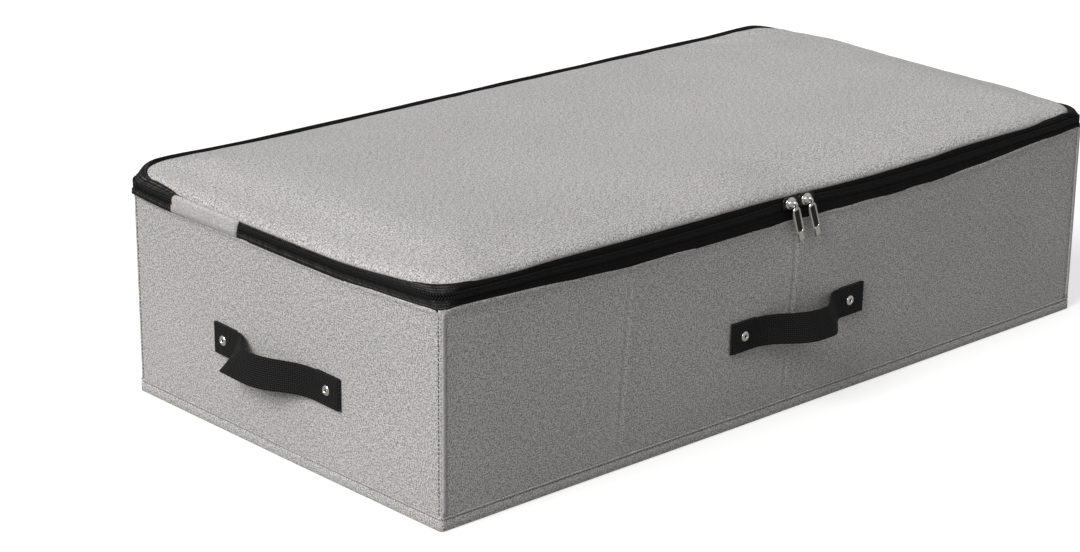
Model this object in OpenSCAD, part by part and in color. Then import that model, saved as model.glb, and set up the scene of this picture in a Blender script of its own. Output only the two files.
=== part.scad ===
// Under bed storage box: a fabric box with board-stiffened walls, a soft
// crowned lid, a two-slider zipper that opens its front part, and three
// riveted webbing handles. Millimetres, Z up, origin on the floor under the
// middle of the box. The long front wall faces -Y.

/* [Box] */
// Length of the box along its long walls
box_length = 745; // [600:5:900]
// Width of the box across its short walls
box_width = 380; // [340:5:600]
// Height of the zip line above the floor
zip_height = 178; // [150:1:260]
// Outside radius of the upright wall corners
wall_corner = 4; // [3:0.5:5]
// Outside radius of the corners at the rim and round the zipper
rim_corner = 14; // [10:1:24]

/* [Walls] */
// Thickness of the outer cloth
cloth = 1.2; // [0.8:0.1:1.6]
// Thickness of the stiffening boards
board = 2.5; // [1.5:0.1:3]
// Thickness of the inner cloth
lining = 0.8; // [0.5:0.1:1.2]
// Clearance left between layers of the wall
layer_gap = 0.1; // [0.05:0.05:0.2]
// Number of leaves that each long wall board is creased into
leaves = 4; // [2:2:4]
// Gap between two leaves, where the wall creases
crease = 1.5; // [1:0.5:4]
// Height of the sewn hem round the base
hem_height = 11; // [8:1:16]
// How far the hem stands proud of the walls
hem_proud = 0.9; // [0.4:0.1:1.4]
// Width of the raised seam welt beside each corner
welt_width = 4.5; // [3:0.5:6]

/* [Zipper] */
// Height of the black band, lower and upper tape together
band_height = 20; // [18:1:26]
// Thickness of the zipper tape
tape = 1; // [0.6:0.1:1.2]
// Distance from one zipper tooth to the next
tooth_pitch = 3; // [2.5:0.5:5]
// Length of a tooth from its bead to its tip
tooth_length = 1.9; // [1.5:0.1:2.1]
// Depth of the teeth, outwards from the tape
tooth_depth = 2.2; // [1.8:0.1:2.6]
// Gap that the slider's divider needs between the two rows
row_gap = 1.2; // [1:0.1:1.6]
// Where the two sliders meet when closed, measured from the middle to the right
meet_x = -5; // [-20:0.5:20]
// Length of a slider along the zipper
slider_length = 18; // [14:0.5:20]
// Length of a pull below its eye
pull_length = 33; // [24:1:40]
// Width of a pull
pull_width = 8.5; // [6:0.5:10]

/* [Lid] */
// Distance of the lid's fold line from the back wall
fold_back = 146; // [120:1:170]
// Length of the cloth patch sewn over the zipper behind the fold
patch_length = 90; // [60:5:100]
// Height of the padded lid's crown above the band
crown_rise = 15; // [10:1:24]
// Width of the soft rounded edge of the lid
edge_width = 16; // [10:1:24]
// Thickness of the wadding inside the lid
wadding = 6; // [4:0.5:7]

/* [Handles] */
// Height of the handles' middle above the floor
handle_z = 78; // [60:1:85]
// Width of the webbing
strap_width = 25; // [20:1:30]
// Thickness of the webbing
strap = 1.6; // [1.2:0.1:2]
// Distance from a handle's middle to each rivet
rivet_x = 63; // [60:1:75]
// How far a handle stands off the wall at its middle
stand_off = 20; // [18:1:26]
// Radius of a rivet's head
rivet_head = 4.2; // [3.5:0.1:5]
// Radius of a rivet's shank
rivet_shank = 1.9; // [1.5:0.1:2.2]

/* [Base board] */
// Thickness of the loose base board's leaves
base_board = 3; // [2:0.5:4]
// Clearance round the loose base board, past the rivet tails
base_clearance = 2.6; // [2.4:0.1:6]

/* [Hidden] */
$fn = 48;
fabric_grey = "#a19f9b";
lining_grey = "#8f8e8b";
webbing_black = "#1b1b1d";
board_brown = "#b39a74";
pad_white = "#e4e2dc";
nickel = "#cfccc4";

half_l = box_length / 2;
half_w = box_width / 2;
wall_bottom = cloth + layer_gap;
wall_top = zip_height - band_height / 2;
lid_edge = zip_height + band_height / 2;
crown_z = lid_edge + crown_rise;
// The slider needs this much free height on each side of the zip line
slider_room = 6;
rim_top = zip_height - slider_room;
lid_bottom = zip_height + slider_room;
fold_y = half_w - fold_back;

// Depths of the wall layers, inwards from the outline
board_out = cloth + layer_gap;
board_in = board_out + board;
lining_out = board_in + layer_gap;
lining_in = lining_out + lining;
pad_out = cloth + layer_gap;
pad_in = pad_out + wadding;
// Level below the lid where its forms begin, cut away again
crown_foot = lid_bottom - 2 * wadding;

// Distances of the zipper's layers, outwards from the outline
tape_in = layer_gap;
tape_out = tape_in + tape;
teeth_out = tape_out + tooth_depth;
bead = 1;
tooth_width = tooth_pitch * 0.55;
tape_edge = 1.5;
arc_teeth = 7;
// How far a tooth keeps inside its bead's faces, and how its root lies in the bead
tooth_inset = 0.2;
root_start = 0.4;
root_height = 0.4;

// Slider and pull
plate = 1.3;
plate_clearance = 0.5;
flange = 0.8;
narrow_half = row_gap / 2 + tooth_length + bead + plate_clearance + flange;
wide_half = narrow_half + 0.6;
front_plate_in = teeth_out + plate_clearance;
front_plate_out = front_plate_in + plate;
rear_plate_out = tape_in - plate_clearance;
divider = 0.6;
slider_gap = 0.3;
bail_rod = 0.8;
bail_radius = 4;
bail_top = front_plate_out + bail_radius;
eye_bore = 1.5;
eye_rim = 2.4;
pull_thickness = 1.6;
left_pull_swing = 18;
right_pull_swing = 20;

// Handles
rivet_hole = rivet_shank + 0.15;
through = 20;
tab = 2 * strap;
tab_beyond = 13;
arch_before = 12;
tab_end = rivet_x + tab_beyond;
arch_flat = 8;
arch_end = rivet_x - arch_before;
strap_middle = layer_gap + 1.5 * strap;
hinge_off = strap_width / 2;
split_gap = 0.3;
droop = 12;
washer = 0.8;
rivet_tail = 0.8;

// Loose base board
base_half_l = half_l - lining_in - base_clearance;
base_half_w = half_w - lining_in - base_clearance;
sleeve = 0.6;
base_z = wall_bottom + layer_gap;

// ---- Frames and outlines ----

// Local frame of a wall: x along it, y up, z outwards from the outline
module on_wall(side) {
    if (side == "front") translate([0, -half_w, 0]) rotate([90, 0, 0]) children();
    if (side == "back") translate([0, half_w, 0]) rotate([90, 0, 180]) children();
    if (side == "left") translate([-half_l, 0, 0]) rotate([90, 0, -90]) children();
    if (side == "right") translate([half_l, 0, 0]) rotate([90, 0, 90]) children();
}

// The box's outline in plan, moved outwards by out
module outline(out, r) {
    l = box_length + 2 * out;
    w = box_width + 2 * out;
    square([l - 2 * r, w], center = true);
    square([l, w - 2 * r], center = true);
    for (x = [-1, 1], y = [-1, 1])
        translate([x * (l / 2 - r), y * (w / 2 - r)]) circle(r);
}

// A band that follows the outline, from depth inner to depth outer
module ring(inner, outer, r, z0, z1) {
    translate([0, 0, z0]) linear_extrude(z1 - z0) difference() {
        outline(outer, r + outer);
        outline(inner, r + inner);
    }
}

// Keeps what lies in front of the fold line, or behind it
module before_fold() {
    intersection() {
        children();
        translate([-box_length, fold_y - split_gap - 2 * box_width, -1])
            cube([2 * box_length, 2 * box_width, 2 * zip_height]);
    }
}
module behind_fold() {
    intersection() {
        children();
        translate([-box_length, fold_y + split_gap, -1])
            cube([2 * box_length, 2 * box_width, 2 * zip_height]);
    }
}

// ---- Walls and base ----

module rivet_holes(side) {
    on_wall(side) for (x = [-1, 1])
        translate([x * rivet_x, handle_z, -through / 2]) cylinder(r = rivet_hole, h = through);
}

// A long wall's cloth turns both upright corners
module long_cover(side) {
    sign = side == "front" ? -1 : 1;
    color(fabric_grey) difference() {
        translate([0, 0, wall_bottom]) linear_extrude(wall_top - wall_bottom) intersection() {
            difference() {
                outline(0, wall_corner);
                outline(-cloth, wall_corner - cloth);
            }
            translate([0, sign * half_w]) square([2 * box_length, 2 * wall_corner], center = true);
        }
        if (side == "front") rivet_holes(side);
    }
}

module short_cover(side) {
    sign = side == "left" ? -1 : 1;
    length = box_width - 2 * wall_corner - 2 * layer_gap;
    color(fabric_grey) difference() {
        translate([sign * (half_l - cloth / 2), 0, (wall_bottom + wall_top) / 2])
            cube([cloth, length, wall_top - wall_bottom], center = true);
        rivet_holes(side);
    }
}

// A flat panel of a wall, from local x0 to x1 and from depth d0 to d1 inwards
module panel(side, x0, x1, d0, d1) {
    on_wall(side) translate([x0, wall_bottom, -d1])
        cube([x1 - x0, wall_top - wall_bottom, d1 - d0]);
}

module long_leaf(side, index) {
    run = half_l - board_in - layer_gap;
    width = (2 * run - (leaves - 1) * crease) / leaves;
    x0 = -run + (index - 1) * (width + crease);
    color(board_brown) if (index <= leaves) difference() {
        panel(side, x0, x0 + width, board_out, board_in);
        if (side == "front") rivet_holes(side);
    }
}

module short_board(side) {
    run = half_w - wall_corner;
    color(board_brown) difference() {
        panel(side, -run, run, board_out, board_in);
        rivet_holes(side);
    }
}

module wall_lining(side) {
    long = side == "front" || side == "back";
    run = long ? half_l - lining_out : half_w - lining_in - layer_gap;
    color(lining_grey) difference() {
        panel(side, -run, run, lining_out, lining_in);
        if (side != "back") rivet_holes(side);
    }
}

module base_cover() {
    color(fabric_grey) linear_extrude(cloth) outline(0, wall_corner);
}

// Four folded strips that close the seam between base and walls
module base_hem() {
    color(fabric_grey) for (side = ["front", "back", "left", "right"]) {
        long = side == "front" || side == "back";
        run = long ? half_l + hem_proud : half_w - layer_gap;
        on_wall(side) linear_extrude(hem_proud)
            translate([-run, 0]) square([2 * run, hem_height]);
    }
}

module corner_welts() {
    start = half_l - wall_corner - welt_width;
    color(fabric_grey) for (side = ["front", "back"], x = [-1, 1])
        on_wall(side) translate([x * (start + welt_width / 2), (hem_height + wall_top) / 2, cloth / 3])
            cube([welt_width, wall_top - hem_height - 2 * layer_gap, cloth * 2 / 3], center = true);
}

module rim_binding() {
    color(webbing_black) ring(-lining_in, 0, rim_corner, wall_top + layer_gap, rim_top);
}

// ---- Zipper ----

// Comb outline of a row of teeth from a to b: back at y0, teeth on a root of that height
function comb(a, b, y0, up, root = bead, length = tooth_length) =
    let (n = floor((b - a) / tooth_pitch), spare = (b - a - n * tooth_pitch + tooth_pitch - tooth_width) / 2)
    concat(
        [[a, y0], [a, y0 + up * root]],
        [for (i = [0:n - 1], k = [0:3])
            let (x = a + spare + i * tooth_pitch + (k > 1 ? tooth_width : 0))
            [x, y0 + up * (root + (k == 1 || k == 2 ? length : 0))]],
        [[b, y0 + up * root], [b, y0]]);

// up is 1 for the lower row, whose teeth point up, and -1 for the upper row
function row_back(up) = zip_height - up * (row_gap / 2 + tooth_length + bead);

module straight_row(side, a, b, up) {
    on_wall(side) translate([0, 0, tape_out + tooth_inset]) linear_extrude(tooth_depth - 2 * tooth_inset)
        polygon(comb(a + tooth_inset, b - tooth_inset, row_back(up) + up * root_start * bead, up,
            root_height * bead, tooth_length + (1 - root_start - root_height) * bead));
}

// The same row round one rim corner, which starts at angle turn
module corner_row(x, y, turn, up) {
    step = 90 / arc_teeth;
    height = tooth_length + (1 - root_start) * bead;
    low = row_back(up) + up * root_start * bead - (up > 0 ? 0 : height);
    translate([x * (half_l - rim_corner), y * (half_w - rim_corner), low]) rotate(turn)
        for (i = [0:arc_teeth - 1]) rotate((i + 0.5) * step)
            translate([rim_corner + tape_out + tooth_inset, -tooth_width / 2, 0])
                cube([tooth_depth - 2 * tooth_inset, tooth_width, height]);
}

// The strip that carries a row, right round the box
module row_bead(up) {
    low = row_back(up) - (up > 0 ? 0 : bead);
    ring(tape_out, teeth_out, rim_corner, low, low + bead);
}

module front_row(up, left_stop, right_stop) {
    run = half_l - rim_corner;
    straight_row("front", -run, left_stop, up);
    if (right_stop < run) straight_row("front", right_stop, run, up);
    straight_row("left", -fold_y + split_gap, half_w - rim_corner, up);
    straight_row("right", -half_w + rim_corner, fold_y - split_gap, up);
    corner_row(-1, -1, 180, up);
    corner_row(1, -1, 270, up);
    before_fold() row_bead(up);
}

module rear_row(up) {
    run = half_l - rim_corner;
    straight_row("back", -run, run, up);
    straight_row("left", -half_w + rim_corner, -fold_y - split_gap, up);
    straight_row("right", fold_y + split_gap, half_w - rim_corner, up);
    corner_row(1, 1, 0, up);
    corner_row(-1, 1, 90, up);
    behind_fold() row_bead(up);
}

module zip_tape_lower() {
    color(webbing_black)
        ring(tape_in, tape_out, rim_corner, wall_top + layer_gap, zip_height - tape_edge);
}

module upper_tape() {
    color(webbing_black) ring(tape_in, tape_out, rim_corner, zip_height + tape_edge, lid_edge);
}

module zip_teeth_lower() {
    color(webbing_black) front_row(1, half_l - rim_corner, half_l);
}

// The upper row leaves out the teeth that the closed sliders hold
module zip_teeth_front() {
    held = slider_length + 1;
    color(webbing_black) difference() {
        front_row(-1, meet_x - held, meet_x + held);
        translate([meet_x - held, -half_w - teeth_out - 1, zip_height])
            cube([2 * held, teeth_out + 1, lid_edge - zip_height]);
    }
}

module zip_teeth_rear() {
    color(webbing_black) for (up = [-1, 1]) rear_row(up);
}

// Cloth patch, a shallow channel over the closed zipper
module zip_patch(side) {
    near = fold_y + split_gap;
    skin = cloth * 2 / 3;
    low = wall_top - 1.5;
    high = lid_edge - 0.5;
    out = teeth_out + layer_gap + skin;
    start = side == "left" ? -near - patch_length : near;
    color(fabric_grey) on_wall(side) translate([start, 0, 0]) rotate([0, 90, 0]) mirror([1, 0, 0])
        linear_extrude(patch_length) polygon([[layer_gap, low], [out - skin, low], [out, low + skin],
            [out, high - skin], [out - skin, high], [tape_out + layer_gap, high],
            [tape_out + layer_gap, high - skin], [out - skin, high - skin],
            [out - skin, low + skin], [layer_gap, low + skin]]);
}

// Outline of a slider plate: wide and rounded ahead, narrower behind
module plate_outline() {
    nose = 2.5;
    hull() {
        for (y = [-1, 1]) translate([slider_length - nose, y * (wide_half - nose)]) circle(nose);
        for (y = [-1, 1]) translate([1, y * (narrow_half - 1)]) circle(1);
    }
}

// A slider lying on the zip line: x towards its wide end, y across, z outwards
module slider() {
    color(nickel) {
        translate([0, 0, front_plate_in]) linear_extrude(plate) plate_outline();
        translate([0, 0, rear_plate_out - plate]) linear_extrude(plate) plate_outline();
        translate([slider_length - 3.2, -divider / 2, rear_plate_out])
            cube([2.4, divider, front_plate_in - rear_plate_out]);
        for (y = [-1, 1]) translate([slider_length * 0.15, y > 0 ? narrow_half - flange : -narrow_half,
            tape_out + plate_clearance])
            cube([slider_length * 0.62, flange, front_plate_in - tape_out - plate_clearance]);
        translate([slider_length / 2, 0, front_plate_out]) rotate([90, 0, 0])
            rotate_extrude(angle = 180) translate([bail_radius, 0]) circle(bail_rod);
    }
}

// A pull with its eye on the bail: x along the zipper, y up, z outwards from the eye
module pull(swing) {
    rail = 1.6;
    grip = 8;
    shoulder = eye_rim + 3.6;
    color(nickel) {
        rotate([0, 90, 0]) rotate_extrude() translate([(eye_bore + eye_rim) / 2, 0])
            square([eye_rim - eye_bore, 1.8], center = true);
        rotate([0, 0, swing]) translate([0, 0, -pull_thickness / 2]) linear_extrude(pull_thickness)
            difference() {
                union() {
                    translate([-pull_width / 2, -pull_length + 1]) square([pull_width, pull_length - shoulder]);
                    translate([-pull_width / 2 + 1, -pull_length]) square([pull_width - 2, 2]);
                    translate([0, -shoulder]) circle(pull_width / 2);
                    for (x = [-1, 1]) translate([x * (pull_width / 2 - 1), -pull_length + 1]) circle(1);
                }
                circle(eye_bore + 0.5);
                translate([-pull_width / 2 + rail, -pull_length + grip])
                    square([pull_width - 2 * rail, pull_length - grip - shoulder - 1.4]);
                translate([0, -shoulder - 1.4]) circle(pull_width / 2 - rail);
            }
    }
}

module place_slider(side) {
    left = side == "left";
    x = left ? meet_x - slider_gap / 2 - slider_length : meet_x + slider_gap / 2 + slider_length;
    on_wall("front") translate([x, zip_height, 0]) rotate([0, 0, left ? 0 : 180]) slider();
}

module place_pull(side, swing) {
    sign = side == "left" ? -1 : 1;
    x = meet_x + sign * (slider_gap + slider_length) / 2;
    on_wall("front") translate([x, zip_height, bail_top]) pull(swing);
}

// ---- Lid ----

// Crowned block with the lid's plan, shrunk by inset all round and on top
module crown(inset) {
    hull() {
        translate([0, 0, crown_foot]) linear_extrude(lid_edge - inset - crown_foot)
            outline(-inset, rim_corner - inset, $fn = 32);
        for (a = [18:18:90])
            translate([0, 0, lid_edge - inset + crown_rise * 0.7 * sin(a)]) linear_extrude(0.1)
                outline(-inset - edge_width * (1 - cos(a)), rim_corner + edge_width * 1.4 * (1 - cos(a)) - inset,
                    $fn = 32);
        translate([0, 0, crown_z - inset - 0.1]) linear_extrude(0.1)
            outline(-half_w * 0.6, half_w * 0.35, $fn = 32);
    }
}

// One layer of the lid, from one inset to the next, open below
module lid_layer(outer, inner) {
    difference() {
        crown(outer);
        crown(inner);
        translate([-box_length, -box_width, 0]) cube([2 * box_length, 2 * box_width, lid_bottom]);
    }
}

module lid_cover() {
    color(fabric_grey) lid_layer(0, cloth);
}

module lid_pad() {
    color(pad_white) lid_layer(pad_out, pad_in);
}

module lid_lining() {
    color(lining_grey) lid_layer(pad_in + layer_gap, pad_in + layer_gap + lining);
}

// ---- Handles ----

// Distance of the webbing's middle line from the wall at x
function arch(x) =
    let (t = min(1, max(0, (abs(x) - arch_flat) / (arch_end - arch_flat))))
    strap_middle + (stand_off - strap_middle) * (1 + cos(180 * t)) / 2;
function arch_slope(x) = (arch(x + 0.05) - arch(x - 0.05)) / 0.1;
// Side of the webbing: s is 1 for its outer face and -1 for its inner face
function strap_point(x, s) =
    let (m = arch_slope(x), n = sqrt(1 + m * m))
    [x - s * m / n * strap / 2, arch(x) + s * strap / (2 * n)];
// Where the middle line crosses the hinge distance
split_x = arch_flat + (arch_end - arch_flat)
    * acos(2 * (hinge_off - strap_middle) / (stand_off - strap_middle) - 1) / 180;

module strap_run(x0, x1, steps) {
    xs = [for (i = [0:steps]) x0 + (x1 - x0) * i / steps];
    polygon(concat([for (x = xs) strap_point(x, 1)], [for (i = [steps:-1:0]) strap_point(xs[i], -1)]));
}

// Puts a plan drawing, x along the wall and y outwards, at the webbing's height
module webbing(side) {
    on_wall(side) translate([0, handle_z + strap_width / 2, 0]) rotate([90, 0, 0])
        linear_extrude(strap_width) children();
}

// The two riveted ends, each folded under, with the webbing up to the hinge line
module handle_ends(side) {
    color(webbing_black) difference() {
        webbing(side) for (s = [-1, 1]) mirror([s < 0 ? 1 : 0, 0]) {
            difference() {
                strap_run(split_x - strap, tab_end - strap, 16);
                square([split_x + split_gap, stand_off + strap]);
            }
            translate([arch_end + 2, layer_gap]) square([tab_end - arch_end - 2 - strap, strap * 1.5]);
            translate([tab_end - strap, layer_gap + strap]) circle(strap);
        }
        rivet_holes(side);
    }
}

// The loop between them, hanging a little
module handle_loop(side) {
    color(webbing_black) on_wall(side) translate([0, handle_z, hinge_off]) rotate([droop, 0, 0])
        translate([0, strap_width / 2, -hinge_off]) rotate([90, 0, 0])
            linear_extrude(strap_width) intersection() {
                strap_run(-split_x - strap, split_x + strap, 24);
                translate([-split_x, 0]) square([2 * split_x, stand_off + strap]);
            }
}

// Tubular rivet: dimpled head outside, shank through the wall, rolled tail inside
module rivet() {
    head = layer_gap + tab;
    foot = -lining_in - washer - rivet_tail;
    rotate_extrude() polygon([[0, foot], [rivet_shank + 0.9, foot], [rivet_shank + 0.9, foot + rivet_tail],
        [rivet_shank, foot + rivet_tail], [rivet_shank, head], [rivet_head, head], [rivet_head, head + 0.4],
        [rivet_head - 0.8, head + 1.1], [rivet_head * 0.45, head + 1.3], [rivet_head * 0.36, head + 0.8],
        [0, head + 0.6]]);
}

module at_rivets() {
    for (side = ["front", "left", "right"], x = [-1, 1])
        on_wall(side) translate([x * rivet_x, handle_z, 0]) children();
}

module rivets() {
    color(nickel) at_rivets() rivet();
}

module rivet_washers() {
    color(nickel) at_rivets() translate([0, 0, -lining_in - washer]) difference() {
        cylinder(r = rivet_head + 0.8, h = washer);
        translate([0, 0, -1]) cylinder(r = rivet_hole, h = washer + 2);
    }
}

// ---- Loose base board ----

leaf_room = (2 * base_half_l - (leaves + 1) * 3) / leaves;

module leaf_slots(clear) {
    for (i = [0:leaves - 1])
        translate([-base_half_l + 3 + i * (leaf_room + 3) + clear, -base_half_w - 1 + 4 * clear,
            base_z + sleeve + clear])
            cube([leaf_room - 2 * clear, 2 * base_half_w + 2 - 8 * clear, base_board + 2 * layer_gap - 2 * clear]);
}

// Cloth sleeve with one pocket for each leaf
module base_sleeve() {
    color(lining_grey) difference() {
        translate([-base_half_l, -base_half_w, base_z])
            cube([2 * base_half_l, 2 * base_half_w, base_board + 2 * layer_gap + 2 * sleeve]);
        leaf_slots(0);
    }
}

module base_leaves() {
    color(board_brown) intersection() {
        leaf_slots(layer_gap);
        cube([2 * base_half_l, 2 * base_half_w - 2, 4 * zip_height], center = true);
    }
}

base_cover();
base_hem();
long_cover("front");  // front_cover
long_cover("back");  // back_cover
short_cover("left");  // left_cover
short_cover("right");  // right_cover
long_leaf("front", 1);  // front_board_1
long_leaf("front", 2);  // front_board_2
long_leaf("front", 3);  // front_board_3
long_leaf("front", 4);  // front_board_4
long_leaf("back", 1);  // back_board_1
long_leaf("back", 2);  // back_board_2
long_leaf("back", 3);  // back_board_3
long_leaf("back", 4);  // back_board_4
short_board("left");  // left_board
short_board("right");  // right_board
wall_lining("front");  // front_lining
wall_lining("back");  // back_lining
wall_lining("left");  // left_lining
wall_lining("right");  // right_lining
corner_welts();
rim_binding();
zip_tape_lower();
zip_teeth_lower();
behind_fold() upper_tape();  // zip_tape_rear
zip_teeth_rear();
zip_patch("left");  // zip_patch_left
zip_patch("right");  // zip_patch_right
behind_fold() lid_cover();  // lid_rear_cover
behind_fold() lid_pad();  // lid_rear_pad
behind_fold() lid_lining();  // lid_rear_lining
before_fold() lid_cover();  // lid_front_cover
before_fold() lid_pad();  // lid_front_pad
before_fold() lid_lining();  // lid_front_lining
before_fold() upper_tape();  // zip_tape_front
zip_teeth_front();
place_slider("left");  // slider_left
place_slider("right");  // slider_right
place_pull("left", left_pull_swing);  // pull_left
place_pull("right", right_pull_swing);  // pull_right
handle_ends("front");  // handle_front_ends
handle_ends("left");  // handle_left_ends
handle_ends("right");  // handle_right_ends
handle_loop("front");  // handle_front_loop
handle_loop("left");  // handle_left_loop
handle_loop("right");  // handle_right_loop
rivets();
rivet_washers();
base_sleeve();
base_leaves();
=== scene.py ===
import math

import bmesh
import bpy
from mathutils import Matrix, Vector, noise


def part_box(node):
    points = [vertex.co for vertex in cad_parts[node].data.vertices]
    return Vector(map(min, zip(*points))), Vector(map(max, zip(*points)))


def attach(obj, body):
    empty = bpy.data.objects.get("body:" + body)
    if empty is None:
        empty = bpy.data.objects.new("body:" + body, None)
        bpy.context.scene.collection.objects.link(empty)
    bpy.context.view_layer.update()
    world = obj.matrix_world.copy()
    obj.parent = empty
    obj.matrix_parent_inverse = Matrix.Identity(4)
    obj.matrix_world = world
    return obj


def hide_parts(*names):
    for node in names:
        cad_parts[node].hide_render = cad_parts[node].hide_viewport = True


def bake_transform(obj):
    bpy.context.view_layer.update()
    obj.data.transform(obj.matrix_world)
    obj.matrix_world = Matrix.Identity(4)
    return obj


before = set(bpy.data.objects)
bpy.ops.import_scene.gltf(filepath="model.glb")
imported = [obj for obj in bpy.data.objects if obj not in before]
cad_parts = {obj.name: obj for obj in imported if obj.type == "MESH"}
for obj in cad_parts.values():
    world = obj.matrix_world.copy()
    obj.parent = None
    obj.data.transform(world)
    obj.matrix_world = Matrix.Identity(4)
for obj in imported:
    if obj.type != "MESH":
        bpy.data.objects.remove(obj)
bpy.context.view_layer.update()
scene = bpy.context.scene
scene.view_settings.view_transform = "Standard"
mm = 0.001

# Places that every piece is measured from, all from the frame
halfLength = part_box("right_cover")[1].x
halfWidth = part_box("back_cover")[1].y
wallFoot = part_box("front_cover")[0].z
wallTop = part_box("front_cover")[1].z
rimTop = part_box("rim_binding")[1].z
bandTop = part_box("zip_tape_rear")[1].z
zipLine = (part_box("zip_tape_lower")[1].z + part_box("zip_tape_rear")[0].z) / 2
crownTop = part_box("lid_rear_cover")[1].z
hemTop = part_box("base_hem")[1].z
meetX = (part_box("slider_left")[1].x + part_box("slider_right")[0].x) / 2
handleLevel = (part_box("handle_front_ends")[0].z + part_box("handle_front_ends")[1].z) / 2


def smooth(t):
    t = min(1, max(0, t))
    return t * t * (3 - 2 * t)


def hump(x, middle, width):
    return math.exp(-(((x - middle) / width) ** 2))


# How the stretched cloth stands off its boards
drape = {"frontBow": 4.6 * mm, "backBow": 3.4 * mm, "sideBow": 2.6 * mm, "sliderDent": 0.62,
         "unevenness": 0.35 * mm, "reach": 372 * mm, "sideReach": 189 * mm}
# How the zipper's tape hangs: share of the half wall, then how far the cloth's top edge and the lid's edge
# lie below their straight levels, in mm, walking round with the wall on the left hand
hang = {
    "front": ((-1.0, -1.8, 0.0), (-0.94, -1.8, 1.6), (-0.84, -0.9, 2.5), (-0.725, 0.5, 1.4),
              (-0.51, 3.3, 1.5), (-0.16, 3.4, 1.6), (0.024, 5.2, 3.8), (0.42, 5.0, 3.6), (0.53, 4.3, 1.9),
              (0.63, 3.3, 1.8), (0.74, 0.6, 2.0), (0.82, -1.0, 2.4), (0.90, -2.7, 3.6), (0.94, -3.4, 2.2),
              (1.0, -3.8, 0.6)),
    "right": ((-1.0, -3.6, 0.8), (-0.9, -1.8, 2.4), (-0.6, 0.4, 2.0), (-0.25, 1.6, 1.4), (0.1, 1.8, -0.8),
              (0.48, 1.4, -3.8), (0.71, 0.8, -4.2), (0.92, -0.2, -5.2), (1.0, -0.6, -7.4)),
    "back": ((-1.0, -0.6, -8.8), (-0.86, -0.4, -8.0), (-0.75, -0.2, -6.8), (0, 0.4, -4.4), (0.47, 0, -3.0),
             (0.66, -0.4, -3.1), (0.79, -1.0, -3.8), (0.91, -2.4, -5.0), (0.96, -3.2, -4.4),
             (1.0, -3.8, -2.2)),
    "left": ((-1.0, -4.2, -0.4), (-0.93, -3.3, 2.4), (-0.83, -1.6, 3.3), (-0.73, -0.6, 4.1),
             (-0.21, -0.8, 5.6), (0.03, 0.1, 6.4), (0.25, 0.7, 7.0), (0.45, 1.2, 7.2), (0.66, 0.4, 5.2),
             (0.87, -0.4, 3.2), (0.95, -1.2, 1.4), (1.0, -1.8, 0.0))}
faceOrder = ("front", "right", "back", "left")
quarter = math.pi / 2
chainCorner = 14 * mm  # the radius that the zip line takes round a corner


def halfOf(face):
    return halfLength if face in ("front", "back") else halfWidth


def shareAt(face, along, power=1.0):
    reach = drape["reach"] if face in ("front", "back") else drape["sideReach"]
    return max(0, 1 - (along / reach) ** 2) ** power


def bowAt(face, along, z):
    amount = {"front": drape["frontBow"], "back": drape["backBow"]}.get(face, drape["sideBow"])
    amount *= shareAt(face, along) * (0.6 + 0.4 * min(1, z / wallTop)) * smooth(0.35 + z / (60 * mm))
    if face == "front":
        near = hump(along, meetX, 48 * mm) * smooth((z - 115 * mm) / (50 * mm))
        amount *= 1 - drape["sliderDent"] * near
    return amount


def curveAt(rows, x, column):
    # A smooth curve through the rows
    k = max(0, min(len(rows) - 2, sum(row[0] <= x for row in rows) - 1))

    def slope(n):
        low, high = rows[max(0, n - 1)], rows[min(len(rows) - 1, n + 1)]
        return (high[column] - low[column]) / (high[0] - low[0])

    start, end = rows[k], rows[k + 1]
    width = end[0] - start[0]
    t = min(1, max(0, (x - start[0]) / width))
    return ((2 * t ** 3 - 3 * t * t + 1) * start[column] + (3 * t * t - 2 * t ** 3) * end[column]
            + width * ((t ** 3 - 2 * t * t + t) * slope(k) + (t ** 3 - t * t) * slope(k + 1)))


def sagAt(face, along, upper):
    # Positive lowers the edge: the cloth's top edge for the lower tape, the lid's edge for the upper one
    return curveAt(hang[face], along / halfOf(face), 2 if upper else 1) * mm


def sagLow(face, along, z):
    # The hanging cloth edge draws the wall's cloth with it, less and less towards the foot
    return sagAt(face, along, False) * smooth((z - 90 * mm) / (wallTop - 90 * mm))


def bulgeAt(face, along):
    # The tape stands out at the rear left corner
    place = {"left": -along - halfWidth, "back": along - halfLength}.get(face, 1)
    return 2.2 * mm * hump(place, 0, 45 * mm)


# The lid's edge is pulled in behind the tape's black rim at the corners and along the back
rim = {"reach": 62 * mm, "cornerHalf": 26 * mm, "under": 2.5 * mm, "nearShare": 0.3}


def corneredAt(face, along):
    nearCorner = (face == "front" and along < 0) or (face == "left" and along > 0)
    share = rim["nearShare"] if nearCorner else 1.0
    return smooth(1 - (halfOf(face) - rim["cornerHalf"] - abs(along)) / rim["reach"]) * share


def rimRiseAt(face, along):
    return 1.0 if face == "back" else corneredAt(face, along)


def roundTheCorner(value, face, along, turn, runs):
    # value(face, along) on the straight runs; in a corner it goes over from one wall's end to the next one's
    if turn == 0:
        return value(face, along)
    index = faceOrder.index(face)
    first, second = (index, (index + 1) % 4) if turn > 0 else ((index + 3) % 4, index)
    share = smooth((turn if turn > 0 else quarter + turn) / quarter)
    a = value(faceOrder[first], runs[first % 2])
    b = value(faceOrder[second], -runs[second % 2])
    return a + (b - a) * share


def onWall(face, along, outward, z):
    if face == "front":
        return Vector((along, -halfWidth - outward, z))
    if face == "back":
        return Vector((-along, halfWidth + outward, z))
    if face == "right":
        return Vector((halfLength + outward, along, z))
    return Vector((-halfLength - outward, -along, z))


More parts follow.
